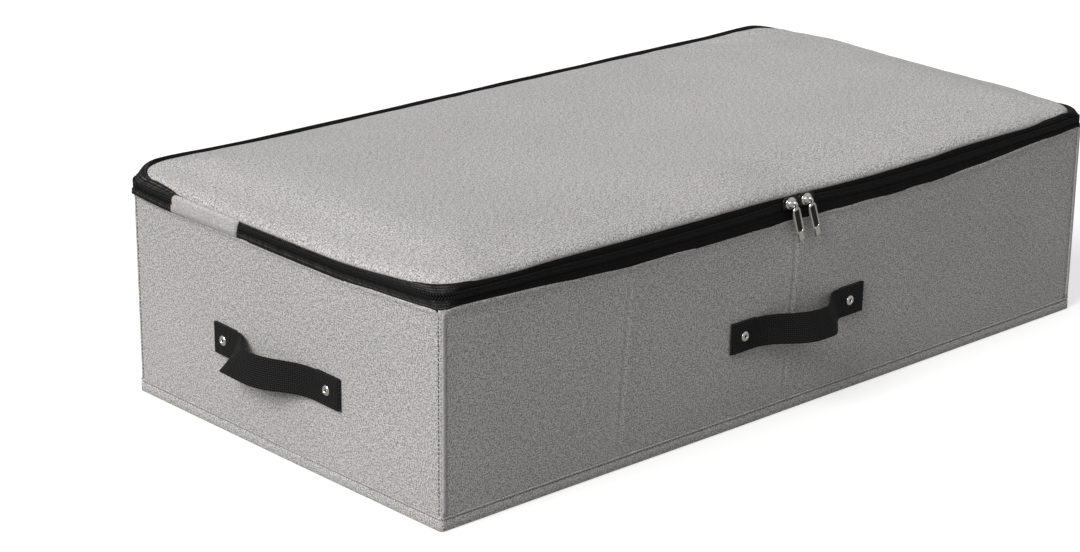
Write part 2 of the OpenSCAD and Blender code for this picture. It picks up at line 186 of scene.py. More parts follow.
def wallPoint(face, along, outward, z, corner):
    # along past the straight run goes round the corner, by the angle that it covers
    run = halfOf(face) - corner
    if abs(along) <= run:
        return onWall(face, along, outward, z)
    side = 1 if along > 0 else -1
    angle = (abs(along) - run) / corner
    return onWall(face, side * (run + (corner + outward) * math.sin(angle)),
                  (corner + outward) * math.cos(angle) - corner, z)


# ---- Materials ----

def newMaterial(name):
    material = bpy.data.materials.new(name)
    material.use_nodes = True
    tree = material.node_tree
    tree.nodes.clear()
    shader = tree.nodes.new("ShaderNodeBsdfPrincipled")
    output = tree.nodes.new("ShaderNodeOutputMaterial")
    tree.links.new(shader.outputs["BSDF"], output.inputs["Surface"])
    return material, tree, shader


def addNode(tree, kind, settings=None, **inputs):
    node = tree.nodes.new(kind)
    for key, value in (settings or {}).items():
        setattr(node, key, value)
    for key, value in inputs.items():
        socket = node.inputs[int(key[1:])] if key[0] == "i" and key[1:].isdigit() else node.inputs[key]
        if isinstance(value, bpy.types.NodeSocket):
            tree.links.new(value, socket)
        else:
            socket.default_value = value
    return node


def scaled(tree, source, scale, turn=0.0):
    node = addNode(tree, "ShaderNodeMapping", Vector=source)
    node.inputs["Scale"].default_value = scale
    node.inputs["Rotation"].default_value = (0, 0, turn)
    return node.outputs["Vector"]


def mathNode(tree, operation, a, b=0.0):
    return addNode(tree, "ShaderNodeMath", {"operation": operation}, i0=a, i1=b).outputs[0]


def mixColour(tree, share, a, b, blend="MIX"):
    node = addNode(tree, "ShaderNodeMix", {"data_type": "RGBA", "blend_type": blend})
    for index, value in ((0, share), (6, a), (7, b)):
        if isinstance(value, bpy.types.NodeSocket):
            tree.links.new(value, node.inputs[index])
        else:
            node.inputs[index].default_value = value
    return node.outputs[2]


def mappedNode(tree, value, low, high, toLow, toHigh):
    node = addNode(tree, "ShaderNodeMapRange", None, Value=value)
    for key, number in (("From Min", low), ("From Max", high), ("To Min", toLow), ("To Max", toHigh)):
        node.inputs[key].default_value = number
    return node.outputs["Result"]


def noiseNode(tree, vector, scale, detail, roughness):
    return addNode(tree, "ShaderNodeTexNoise", None, Vector=vector, Scale=scale, Detail=detail,
                   Roughness=roughness).outputs["Fac"]


def addBump(tree, shader, height, strength, distance):
    bump = addNode(tree, "ShaderNodeBump", None, Height=height, Strength=strength, Distance=distance)
    tree.links.new(bump.outputs["Normal"], shader.inputs["Normal"])


def ribHighlights(tree, cloth, place, colour, finish):
    # Painted highlights: pale woven lines along a tape where its threads catch the light, broken up along
    # their length; strong on the sunlit left wall and faint on the shaded walls
    length, across = addNode(tree, "ShaderNodeSeparateXYZ", None, Vector=cloth).outputs[:2]

    def beat(value, width):
        wave = mathNode(tree, "SINE", mathNode(tree, "MULTIPLY", value, math.pi / width))
        return mathNode(tree, "ABSOLUTE", wave)

    line = mappedNode(tree, beat(across, finish["rib"]), finish["ribEdge"], 0.0, 0.0, 1.0)
    diagonal = mathNode(tree, "ADD", length, across)
    twill = mappedNode(tree, beat(diagonal, finish["twill"]), 0.75, 1.0, 0.0, 0.30)
    line = mathNode(tree, "MAXIMUM", line, twill)
    # painted highlight mask: the lines show fully near the left wall, which faces the sun, and only faintly
    # on the other walls
    wallSide = addNode(tree, "ShaderNodeSeparateXYZ", None, Vector=place).outputs["X"]
    shown = mappedNode(tree, wallSide, 6.5 * mm - halfLength, 16 * mm - halfLength, 1.0, finish["shadedRibShare"])
    line = mathNode(tree, "MULTIPLY", line, shown)
    broken = noiseNode(tree, scaled(tree, cloth, (320, 40, 1)), 1.0, 1.0, 0.5)
    line = mathNode(tree, "MULTIPLY", line, mappedNode(tree, broken, 0.35, 0.6, 0.25, 1.0))
    return mixColour(tree, line, colour, finish["ribHighlightColour"])


def grey(value, warm=0.0):
    return (value * (1 + warm), value, value * (1 - warm), 1)


def clothMaterial(name, finish):
    # Woven cloth on the piece's own map, which is in metres along and across the cloth
    material, tree, shader = newMaterial(name)
    cloth = addNode(tree, "ShaderNodeUVMap", {"uv_map": "cloth"}).outputs[0]
    place = addNode(tree, "ShaderNodeTexCoord").outputs["Object"]
    wave = 0.31416 / finish["thread"]
    warp, weft = (addNode(tree, "ShaderNodeTexWave", {"bands_direction": axis}, Vector=cloth, Scale=wave,
                          Distortion=1.2, Detail=1.0).outputs["Fac"] for axis in "XY")
    weave = mathNode(tree, "MULTIPLY", warp, weft)
    long, fine = finish["slub"]
    slubs = [noiseNode(tree, scaled(tree, cloth, scale), 1.0, 2.0, 0.55)
             for scale in ((fine, long, 1), (long, fine, 1))]
    heather = mathNode(tree, "MULTIPLY", mathNode(tree, "ADD", slubs[0], slubs[1]), 0.5)
    fleck = noiseNode(tree, cloth, finish["fleck"], 1.0, 0.6)
    tone = mathNode(tree, "ADD", mathNode(tree, "MULTIPLY", heather, 0.4),
                    mathNode(tree, "MULTIPLY", fleck, 0.6))
    tone = mappedNode(tree, tone, 0.5 - finish["spread"], 0.5 + finish["spread"], 0.0, 1.0)
    colour = mixColour(tree, tone, finish["dark"], finish["light"])
    tint = noiseNode(tree, scaled(tree, cloth, (1, 1, 1), 0.7), finish["tint"], 1.0, 0.5)
    colour = mixColour(tree, mappedNode(tree, tint, 0.42, 0.58, 0.0, 0.5), colour,
                       mixColour(tree, 1.0, colour, finish["cool"], "MULTIPLY"))
    blotch = noiseNode(tree, place, finish["blotch"], 3.0, 0.5)
    shade = mappedNode(tree, blotch, 0.3, 0.7, 1 - finish["uneven"], 1 + finish["uneven"])
    colour = mixColour(tree, 1.0, colour, shade, "MULTIPLY")
    if "rib" in finish:
        colour = ribHighlights(tree, cloth, place, colour, finish)
    between = mathNode(tree, "SUBTRACT", 1.0, weave)
    dip = mathNode(tree, "SUBTRACT", 1.0, mathNode(tree, "MULTIPLY", between, finish["gap"]))
    tree.links.new(mixColour(tree, 1.0, colour, dip, "MULTIPLY"), shader.inputs["Base Color"])
    height = mathNode(tree, "ADD", mathNode(tree, "MULTIPLY", weave, 0.6),
                      mathNode(tree, "MULTIPLY", heather, 0.8))
    addBump(tree, shader, height, finish["bump"], finish["relief"])
    shader.inputs["Roughness"].default_value = finish["roughness"]
    shader.inputs["Sheen Weight"].default_value = finish["sheen"]
    shader.inputs["Sheen Roughness"].default_value = 0.45
    shader.inputs["Specular IOR Level"].default_value = finish["specular"]
    return material


greyCloth = clothMaterial("greyCloth", {
    "dark": grey(0.215, 0.030), "light": grey(0.640, 0.022), "cool": (0.90, 0.93, 0.97, 1),
    "thread": 0.9 * mm, "slub": (190, 900), "fleck": 900, "tint": 420, "spread": 0.085, "blotch": 12,
    "uneven": 0.035, "gap": 0.10, "bump": 0.6, "relief": 0.3 * mm, "roughness": 0.92, "sheen": 0.06,
    "specular": 0.2})
patchCloth = clothMaterial("patchCloth", {
    "dark": grey(0.31, 0.028), "light": grey(0.57, 0.020), "cool": (0.92, 0.94, 0.97, 1), "thread": 0.8 * mm,
    "slub": (170, 820), "fleck": 760, "tint": 300, "spread": 0.12, "blotch": 30, "uneven": 0.03, "gap": 0.08,
    "bump": 0.55, "relief": 0.25 * mm, "roughness": 0.92, "sheen": 0.06, "specular": 0.2})
liningCloth = clothMaterial("liningCloth", {
    "dark": grey(0.24, 0.01), "light": grey(0.38, 0.01), "cool": (0.95, 0.96, 0.98, 1), "thread": 0.7 * mm,
    "slub": (400, 500), "fleck": 700, "tint": 300, "spread": 0.14, "blotch": 20, "uneven": 0.04, "gap": 0.16,
    "bump": 0.4, "relief": 0.15 * mm, "roughness": 0.95, "sheen": 0.04, "specular": 0.2})
# the tape's pale rib and twill lines are painted highlights, strong only on the sunlit left wall
tapeCloth = clothMaterial("tapeCloth", {
    "dark": grey(0.003), "light": grey(0.009), "cool": (1, 1, 1, 1), "thread": 0.6 * mm, "slub": (250, 900),
    "fleck": 800, "tint": 300, "spread": 0.14, "blotch": 40, "uneven": 0.10, "gap": 0.35, "bump": 0.8,
    "relief": 0.25 * mm, "roughness": 0.75, "sheen": 0.005, "specular": 0.12, "rib": 3.1 * mm,
    "ribEdge": 0.40, "ribHighlightColour": grey(0.24), "twill": 1.8 * mm, "shadedRibShare": 0.10})
bindingCloth = clothMaterial("bindingCloth", {
    "dark": grey(0.004), "light": grey(0.012), "cool": (1, 1, 1, 1), "thread": 0.6 * mm, "slub": (300, 900),
    "fleck": 800, "tint": 300, "spread": 0.14, "blotch": 30, "uneven": 0.08, "gap": 0.3, "bump": 0.7,
    "relief": 0.2 * mm, "roughness": 0.8, "sheen": 0.005, "specular": 0.12})


def webbingMaterial(name, finish):
    # Heavy basket weave: the yarns of warp and weft pass over each other like a chequer board
    material, tree, shader = newMaterial(name)
    cloth = addNode(tree, "ShaderNodeUVMap", {"uv_map": "cloth"}).outputs[0]
    parts = addNode(tree, "ShaderNodeSeparateXYZ", None, Vector=cloth).outputs
    beats = [mathNode(tree, "SINE", mathNode(tree, "MULTIPLY", parts[axis], math.pi / finish["yarn"]))
             for axis in ("X", "Y")]
    chequer = mathNode(tree, "MULTIPLY", beats[0], beats[1])
    over = mappedNode(tree, chequer, 0.25, 0.9, 0.0, 1.0)
    under = mappedNode(tree, chequer, -0.2, -0.9, 0.0, 0.45)
    weave = mathNode(tree, "ADD", over, under)
    fuzz = noiseNode(tree, cloth, 1100.0, 2.0, 0.6)
    lit = mathNode(tree, "MULTIPLY", weave, mappedNode(tree, fuzz, 0.3, 0.7, 0.45, 1.0))
    tree.links.new(mixColour(tree, lit, finish["dark"], finish["light"]), shader.inputs["Base Color"])
    addBump(tree, shader, weave, 1.0, finish["relief"])
    shader.inputs["Roughness"].default_value = 0.62
    shader.inputs["Specular IOR Level"].default_value = 0.15
    return material


webbing = webbingMaterial("webbing", {"yarn": 1.7 * mm, "relief": 0.7 * mm, "dark": grey(0.0025),
                                      "light": grey(0.055)})


def metalMaterial(name, finish):
    material, tree, shader = newMaterial(name)
    place = addNode(tree, "ShaderNodeTexCoord").outputs["Object"]
    wear = noiseNode(tree, place, 420.0, 4.0, 0.6)
    brush = noiseNode(tree, scaled(tree, place, (300, 300, 2600)), 1.0, 2.0, 0.5)
    tree.links.new(mixColour(tree, wear, finish["dark"], finish["light"]), shader.inputs["Base Color"])
    tree.links.new(mappedNode(tree, wear, 0.3, 0.7, *finish["rough"]), shader.inputs["Roughness"])
    addBump(tree, shader, brush, 0.12, 0.02 * mm)
    shader.inputs["Metallic"].default_value = 1.0
    return material


nickel = metalMaterial("nickel", {"dark": (0.70, 0.68, 0.64, 1), "light": (0.90, 0.88, 0.84, 1),
                                  "rough": (0.10, 0.19)})
darkNickel = metalMaterial("darkNickel", {"dark": (0.030, 0.029, 0.026, 1), "light": (0.060, 0.058, 0.052, 1),
                                          "rough": (0.35, 0.5)})


def plainMaterial(name, dark, light, scale, roughness, relief):
    material, tree, shader = newMaterial(name)
    place = addNode(tree, "ShaderNodeTexCoord").outputs["Object"]
    grain = noiseNode(tree, place, scale, 4.0, 0.6)
    tree.links.new(mixColour(tree, grain, dark, light), shader.inputs["Base Color"])
    addBump(tree, shader, grain, 0.4, relief)
    shader.inputs["Roughness"].default_value = roughness
    shader.inputs["Specular IOR Level"].default_value = 0.2
    return material


nylon = plainMaterial("nylon", grey(0.004), grey(0.010), 900.0, 0.5, 0.05 * mm)
greyThread = plainMaterial("greyThread", grey(0.28, 0.02), grey(0.42, 0.02), 2500.0, 0.8, 0.05 * mm)
hemThread = plainMaterial("hemThread", grey(0.07), grey(0.13), 2500.0, 0.8, 0.05 * mm)
darkThread = plainMaterial("darkThread", grey(0.020), grey(0.05), 2500.0, 0.8, 0.05 * mm)
board = plainMaterial("board", (0.33, 0.31, 0.28, 1), (0.44, 0.42, 0.38, 1), 260.0, 0.9, 0.2 * mm)
print("stage materials")


# ---- Makers ----

def gridMesh(columns, rows, place, closed=False):
    # place(i, j) gives the point and its place on the flat cloth
    bm = bmesh.new()
    bmesh.ops.create_grid(bm, x_segments=columns, y_segments=rows, size=1.0)
    layer = bm.loops.layers.uv.new("cloth")
    flat = {}
    for v in bm.verts:
        i, j = round((v.co.x + 1) / 2 * columns), round((v.co.y + 1) / 2 * rows)
        v.co, flat[v] = place(i, j)
    for face in bm.faces:
        for loop in face.loops:
            loop[layer].uv = flat[loop.vert]
    if closed:
        bmesh.ops.remove_doubles(bm, verts=bm.verts, dist=1e-6)
    return bm


def newPiece(name, bm, materials, smoothFaces=True):
    mesh = bpy.data.meshes.new(name)
    bm.to_mesh(mesh)
    bm.free()
    for material in materials:
        mesh.materials.append(material)
    for polygon in mesh.polygons:
        polygon.use_smooth = smoothFaces
    piece = bpy.data.objects.new(name, mesh)
    scene.collection.objects.link(piece)
    return piece


def addInto(bm, part):
    mesh = bpy.data.meshes.new("part")
    part.to_mesh(mesh)
    part.free()
    bm.from_mesh(mesh)
    bpy.data.meshes.remove(mesh)


def bevelEdges(bm, edges, offset, segments):
    bmesh.ops.bevel(bm, geom=edges, offset=offset, affect="EDGES", segments=segments, profile=0.5,
                    material=-1)


def thicken(piece, thickness, innerMaterial=0, offset=-1.0):
    shell = piece.modifiers.new("thickness", "SOLIDIFY")
    shell.thickness = thickness
    shell.offset = offset
    shell.material_offset = innerMaterial
    shell.material_offset_rim = innerMaterial
    return piece


def soften(piece):
    surface = piece.modifiers.new("soft", "SUBSURF")
    surface.levels = 1
    surface.render_levels = 1


def settle(piece):
    # Takes the modifiers into the mesh, for pieces that bend with a joint
    bpy.context.view_layer.update()
    evaluated = piece.evaluated_get(bpy.context.evaluated_depsgraph_get())
    mesh = bpy.data.meshes.new_from_object(evaluated)
    piece.modifiers.clear()
    piece.data = mesh
    return piece


def unevenAt(point, size=1.0):
    slow = noise.noise(point * 9)
    quick = noise.noise(point * 31 + Vector((3.1, 7.7, 1.3)))
    return drape["unevenness"] * size * (slow * 1.4 + quick * 0.5)


def spread(low, high, step):
    count = max(1, round((high - low) / step))
    return [low + (high - low) * i / count for i in range(count + 1)]


def withDetail(values, spots, gaps):
    # Adds closer columns round each spot, and drops those that they crowd
    extra = [spot + side * gap for spot in spots for gap in gaps for side in (-1, 1)] + list(spots)
    kept = [v for v in values if all(abs(v - spot) > gaps[-1] + 1 * mm for spot in spots)]
    return sorted(kept + extra)


# ---- Cloth of the walls ----
walls = {"corner": 2.6 * mm, "thickness": 1.15 * mm, "step": 7.0 * mm, "lip": 0.65 * mm, "seam": 0.5 * mm,
         "turnIn": 6 * mm, "stitchDrop": 3.4 * mm, "cornerDip": 0.75 * mm,
         "creaseDepth": 0.3 * mm, "creaseRidge": 0.5 * mm, "creaseWidth": 2.6 * mm}
creases = {"front": {"spots": (-190 * mm, -5 * mm, 186 * mm), "strength": (0.6, 1.0, 0.25),
                     "slant": 10.5 * mm},
           "back": {"spots": (-186 * mm, 0, 186 * mm), "strength": (0.7, 0.9, 0.7), "slant": 2 * mm}}
creaseGaps = [gap * mm for gap in (1.1, 2.2, 3.3, 4.6, 6.6)]  # columns that draw a crease, from its middle


def creaseAt(face, along):
    total = 0
    for spot, strength in zip(creases[face]["spots"], creases[face]["strength"]):
        d = (along - spot) / walls["creaseWidth"]
        total += strength * (walls["creaseRidge"] * math.exp(-((abs(d) - 1.5) ** 2))
                             - walls["creaseDepth"] * math.exp(-d * d))
    return total


def wallCloth(face):
    levels = spread(wallFoot, wallTop - 9 * mm, 8 * mm)
    levels += [wallTop - d * mm for d in (6, 4.6, 3.4, 2.4, 1.4, 0.5, 0.0)]
    run = halfOf(face) - walls["corner"]
    if face in creases:
        along = withDetail(spread(-run, run, walls["step"]), creases[face]["spots"], creaseGaps)
    else:
        turn = walls["corner"] * math.pi / 2
        arc = [run + turn * i / 5 for i in range(1, 6)]
        groove = [run - g * mm for g in (5.4, 3.2, 2.2, 1.5, 1.1, 0.7, 0.3)]
        straight = spread(-run + 7 * mm, run - 7 * mm, walls["step"])
        along = [-a for a in reversed(arc)] + [-run] + [-g for g in groove] + straight + groove + [run] + arc
        along = sorted(along)

    def place(i, j):
        a, z = along[i], levels[j]
        inside = smooth((run + 0.5 * mm - abs(a)) / (14 * mm))
        outward = bowAt(face, a, z)
        if abs(a) < run:
            outward += inside * unevenAt(onWall(face, a, 0, z))
        if face in creases:
            shown = smooth((z - 8 * mm) / (20 * mm)) * smooth((wallTop - 5 * mm - z) / (20 * mm))
            outward += creaseAt(face, a) * shown
        else:
            outward -= walls["cornerDip"] * hump(abs(a), run - walls["seam"], 0.8 * mm)
        # the top edge is folded over the tape and stands a little proud, above its stitch line
        rise = (z - (wallTop - walls["turnIn"])) / walls["turnIn"]
        lip = walls["lip"] * smooth(rise * 1.8) - 0.18 * mm * hump(z, wallTop - walls["stitchDrop"], 0.7 * mm)
        lip -= 0.3 * mm * smooth((z - (wallTop - 0.9 * mm)) / (0.9 * mm))
        outward += lip if rise > 0 else 0
        sag = sagLow(face, max(-run, min(run, a)), z)
        shift = 0
        if face in creases:
            for spot in creases[face]["spots"][:2]:
                shift += creases[face]["slant"] * (z / wallTop - 0.8) * hump(a, spot, 16 * mm)
        if abs(a) > run:
            point = wallPoint(face, a, max(0, lip), z - sag, walls["corner"])
        else:
            point = onWall(face, a + shift, outward, z - sag)
        return point, (a, z)

    bm = gridMesh(len(along) - 1, len(levels) - 1, place)
    piece = newPiece(face + "Cloth", bm, [greyCloth])
    thicken(piece, walls["thickness"])
    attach(piece, "box")
    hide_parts(face + "_cover")


for face in ("front", "back", "left", "right"):
    wallCloth(face)
print("stage wall cloth")


# ---- Rings that go right round the box ----
ringSteps = {"long": 124, "short": 64, "corner": 9}


def ringStations(corner):
    # Each station is a face, its place along that face, the turn at a corner and the length so far
    stations = []
    length = 0.0
    for face in faceOrder:
        run = halfOf(face) - corner
        count = ringSteps["long"] if face in ("front", "back") else ringSteps["short"]
        for i in range(count):
            stations.append((face, -run + 2 * run * i / count, 0.0, length + 2 * run * i / count))
        length += 2 * run
        for i in range(ringSteps["corner"]):
            turn = math.pi / 2 * i / ringSteps["corner"]
            stations.append((face, run, turn, length + corner * turn))
        length += corner * math.pi / 2
    stations.append(("front", -(halfLength - corner), 0.0, length))
    return stations


def ringPoint(station, corner, outward, z):
    face, along, turn, _ = station
    if turn == 0:
        return onWall(face, along, outward, z)
    reach = corner + outward
    return onWall(face, along + reach * math.sin(turn), reach * math.cos(turn) - corner, z)


def ringLength(corner):
    return 4 * (halfLength + halfWidth - 2 * corner) + 2 * math.pi * corner


def overRing(value, station, corner):
    face, along, turn, _ = station
    return roundTheCorner(value, face, along, turn, (halfLength - corner, halfWidth - corner))


def ringBow(station, z, corner=chainCorner):
    return overRing(lambda face, along: bowAt(face, along, z), station, corner)


def ringSag(station, upper, corner=chainCorner):
    return overRing(lambda face, along: sagAt(face, along, upper), station, corner)


def ringSheet(name, rows, materials, shape):
    # rows are (corner radius, outward, level); shape(station, row) adds to outward and level
    runs = [ringStations(row[0]) for row in rows]
    total = len(runs[0]) - 1
    across = [0.0]
    for a, b in zip(rows, rows[1:]):
        across.append(across[-1] + math.hypot(b[1] - a[1], b[2] - a[2]))

    def place(i, j):
        station = runs[j][i]
        outward, level = shape(station, rows[j])
        point = ringPoint(station, rows[j][0], rows[j][1] + outward, rows[j][2] + level)
        return point, (runs[0][i][3], across[j])

    return newPiece(name, gridMesh(total, len(rows) - 1, place, closed=True), materials)


# ---- Hem round the base ----
hem = {"proud": 0.95 * mm, "thickness": 0.8 * mm, "corner": 2.6 * mm, "stitchLine": 8.8 * mm}
# How far out the hem lies at each level; the stitches sink it
hemProfile = [(0.2 * mm, 0.3 * mm), (0.75 * mm, 0.4 * mm), (hem["proud"], 0.9 * mm),
              (hem["proud"] + 0.1 * mm, 4 * mm), (hem["proud"], 7.4 * mm),
              (hem["proud"] - 0.45 * mm, 8.3 * mm), (hem["proud"] - 0.7 * mm, hem["stitchLine"]),
              (hem["proud"] - 0.4 * mm, 9.3 * mm),
              (hem["proud"] + 0.15 * mm, 10.2 * mm), (hem["proud"], hemTop - 0.2 * mm),
              (0.45 * mm, hemTop + 0.05 * mm)]
hemRows = [(hem["corner"], out, level) for out, level in hemProfile]
baseHem = ringSheet("baseHem", hemRows, [greyCloth], lambda station, row: (
    ringBow(station, row[2], row[0]) + unevenAt(ringPoint(station, row[0], 0, 0), 0.6), 0.0))
thicken(baseHem, hem["thickness"])
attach(baseHem, "box")
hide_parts("base_hem")


# ---- Zipper tapes ----
tapes = {"thickness": 0.55 * mm, "backLean": 0.6 * mm, "tight": 0.12, "share": 0.42, "sliderHold": 0.8}
# Each row: its corner radius, how far out it lies and its level from the zip line, all in mm
lowerRows = ((5, 0.5, -11.8), (5.5, 0.6, -9.6), (6.5, 0.6, -8.5), (7, 0.95, -8.1), (7.5, 0.95, -7.7),
             (8, 0.6, -7.3), (9, 0.6, -5.9), (10, 0.95, -5.5), (10.5, 0.95, -5.1), (11, 0.6, -4.7),
             (12.5, 0.6, -2.8), (13.5, 0.7, -1.2))
upperRows = ((14.5, 0.7, 1.2), (15, 0.6, 2.8), (16, 0.6, 4.7), (16.5, 0.9, 5.1), (17, 0.9, 5.5),
             (17.5, 0.55, 5.9), (19, 0.5, 7.4), (21, 0.4, 8.8), (23.5, 0.1, 10.0), (25, -0.3, 10.8),
             (26, -1.0, 11.4), (27.5, -1.9, 11.6), (29.5, -2.8, 11.3), (32, -3.5, 10.6), (35, -4.2, 9.8),
             (37, -5.5, 9.3))


def chainSag(station, corner=chainCorner):
    # The zip line hangs midway between the two edges, and least where the sliders hold it
    middle = (ringSag(station, False, corner) + ringSag(station, True, corner)) * tapes["share"]
    held = hump(station[1], meetX, 60 * mm) if station[2] == 0 and station[0] == "front" else 0.0
    return middle * (1 - tapes["sliderHold"] * held)


def bandOut(station, corner, level=0.0):
    bulge = overRing(bulgeAt, station, corner)
    # the rear left and front right corners are drawn tighter than the other two
    tight = tapes["tight"] * corner * math.sin(2 * station[2]) if station[0] in ("front", "back") else 0.0
    return ringBow(station, wallTop, corner) + tight + bulge * (1 - smooth(level / (9 * mm)))


def bandShape(upper):
    def shape(station, row):
        share = smooth((abs(row[2] - zipLine) - 2 * mm) / (7 * mm))
        sag = chainSag(station, row[0]) * (1 - share) + ringSag(station, upper, row[0]) * share
        lean = tapes["backLean"] * share if upper and station[0] == "back" and station[2] == 0 else 0.0
        if upper:
            hidden = 1 - overRing(rimRiseAt, station, row[0])
            sag += rim["under"] * hidden * smooth((row[2] - zipLine - 6 * mm) / (5.6 * mm))
        ripple = 0.35 * mm * share * noise.noise(ringPoint(station, row[0], 0, 0) * 24)
        return bandOut(station, row[0], row[2] - zipLine) + lean + ripple * 0.6, ripple - sag
    return shape


def bandRing(name, rows, upper):
    placed = [(corner * mm, out * mm, zipLine + level * mm) for corner, out, level in rows]
    piece = ringSheet(name, placed, [tapeCloth], bandShape(upper))
    return thicken(piece, tapes["thickness"])


lowerTape = bandRing("lowerTape", lowerRows, False)
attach(lowerTape, "box")
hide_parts("zip_tape_lower")
upperTape = settle(bandRing("upperTape", upperRows, True))
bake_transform(upperTape)
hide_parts("zip_tape_rear", "zip_tape_front")


# ---- Zipper chain: two rows of coil turns that mesh at the zip line ----
chain = {"pitch": 2.1 * mm, "length": 3.3 * mm, "width": 1.3 * mm, "depth": 1.1 * mm, "tilt": 0.42,
         "out": 1.2 * mm, "reach": 1.3 * mm, "bevel": 0.32 * mm, "sliderHalf": 18 * mm}


def ringAt(length, corner):
    # The station at a length along the ring, from the left end of the front wall
    for face in faceOrder:
        run = 2 * (halfOf(face) - corner)
        if length < run:
            return (face, length - run / 2, 0.0, length)
        length -= run
        if length < corner * math.pi / 2:
            return (face, run / 2, max(1e-6, length / corner), length)
        length -= corner * math.pi / 2
    return ("front", -(halfLength - corner), 0.0, 0.0)


def ringFrame(station, corner, outward, z):
    # A matrix at the ring: X along, Y up, Z outwards
    point = ringPoint(station, corner, outward, z)
    out = ringPoint(station, corner, outward + 1 * mm, z) - point
    out.normalize()
    up = Vector((0, 0, 1))
    along = up.cross(out)
    turn = Matrix((along, up, out)).transposed().to_4x4()
    return Matrix.Translation(point) @ turn


def coilRow(name, upper):
    bm = bmesh.new()
    perimeter = ringLength(chainCorner)
    count = round(perimeter / chain["pitch"])
    side = 1 if upper else -1
    for i in range(count):
        station = ringAt(perimeter * (i + (0.5 if upper else 0.0)) / count, chainCorner)
        if station[0] == "front" and station[2] == 0 and abs(station[1] - meetX) < chain["sliderHalf"]:
            continue
        level = zipLine + side * chain["reach"] - chainSag(station)
        matrix = ringFrame(station, chainCorner, chain["out"] + bandOut(station, chainCorner), level)
        matrix = matrix @ Matrix.Rotation(side * chain["tilt"], 4, "Z")
        matrix = matrix @ Matrix.Diagonal((chain["width"], chain["length"], chain["depth"], 1))
        bmesh.ops.create_cube(bm, size=1.0, matrix=matrix)
    bevelEdges(bm, list(bm.edges), chain["bevel"], 1)
    return newPiece(name, bm, [nylon])


lowerCoil = coilRow("lowerCoil", False)
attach(lowerCoil, "box")
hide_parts("zip_teeth_lower")
upperCoil = coilRow("upperCoil", True)
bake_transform(upperCoil)
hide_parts("zip_teeth_rear", "zip_teeth_front")
print("stage zipper")


# ---- Lid: padded, crowned, one piece of cloth over wadding ----
lid = {"spacing": 6.0 * mm, "skirt": 3, "edge": 13 * mm, "edgeRise": 5.6 * mm, "thickness": 7.2 * mm,
       "corners": {"frontLeft": 34 * mm, "backLeft": 15 * mm, "frontRight": 24 * mm, "backRight": 26 * mm},
       "overhang": 1.0 * mm, "backInset": 3.0 * mm, "backDrop": 4.6 * mm, "cornerDrop": 1.0 * mm,
       "crownReach": 150 * mm, "soft": 60 * mm, "pucker": 0.9 * mm, "swell": 1.6 * mm, "held": 8 * mm,
       "loosening": 32 * mm, "frames": 20}
lidCeiling = crownTop - 0.15 * mm
sweep = {"reach": 240 * mm, "height": 0.85 * mm, "pace": 150}  # soft folds round the rear right corner
edgeDepths = [0.0, 0.9 * mm, 2.8 * mm, 6.0 * mm, 10.6 * mm, 16.4 * mm]
# How far the turned-in edge lies from the outline and below the lid's edge
skirts = {-1: (-0.1 * mm, 1.1 * mm), -2: (-1.3 * mm, 2.4 * mm), -3: (-3.4 * mm, 3.0 * mm)}
lidColumns = 2 * round(halfLength / lid["spacing"] + lid["skirt"])
lidRows = 2 * round(halfWidth / lid["spacing"] + lid["skirt"])


def roundedPoint(half, corners, t):
    # t from -1 to 1 along one side of a rounded rectangle, the corners' middles at both ends
    corner = corners[1 if t >= 0 else 0]
    run, turn = half[0] - corner, corner * math.pi / 4
    d = abs(t) * (run + turn)
    sign = 1 if t >= 0 else -1
    if d <= run or corner < 1e-6:
        return sign * d, half[1], 0.0, corner
    turned = (d - run) / corner
    across = half[1] - corner + corner * math.cos(turned)
    return sign * (run + corner * math.sin(turned)), across, sign * turned, corner


def lidPoint(i, j):
    # A point of the lid's grid in plan: its place, the wall that it faces, its turn in a corner, its depth,
    # its ring from the edge and the straight runs of that ring
    ring = min(i, lidColumns - i, j, lidRows - j)
    q = ring - lid["skirt"]
    last = len(edgeDepths) - 1
    if q <= last:
        d = edgeDepths[max(0, q)]
    else:
        rings = lidRows // 2 - lid["skirt"] - last
        d = edgeDepths[last] + (halfWidth - edgeDepths[last]) * (q - last) / rings
    half = (halfLength - d, halfWidth - d)
    shrink = 1 - smooth(d / (80 * mm))
    rounding = {key: max(0.0, min(half[1], radius * shrink)) for key, radius in lid["corners"].items()}
    x, y = i - lidColumns / 2, j - lidRows / 2
    spanX, spanY = lidColumns / 2 - ring, lidRows / 2 - ring
    if spanY <= 0:
        px, py, turned, face, corner = x / max(1, spanX) * half[0], 0.0, 0.0, "front", 0.0
    elif j == ring or j == lidRows - ring:
        face = "back" if j == lidRows - ring else "front"
        ends = [rounding[face + side] for side in ("Left", "Right")]
        px, py, turned, corner = roundedPoint(half, ends, x / spanX)
        py *= 1 if face == "back" else -1
    else:
        face = "right" if i == lidColumns - ring else "left"
        ends = [rounding[end + face.capitalize()] for end in ("front", "back")]
        py, px, turned, corner = roundedPoint((half[1], half[0]), ends, y / spanY)
        px *= 1 if face == "right" else -1
    turned = turned if face in ("front", "right") else -turned
    return px, py, face, turned, d, q, (half[0] - corner, half[1] - corner)


def lidNormal(face, turn):
    angle = {"front": -quarter, "right": 0.0, "back": quarter, "left": 2 * quarter}[face] + turn
    return Vector((math.cos(angle), math.sin(angle)))


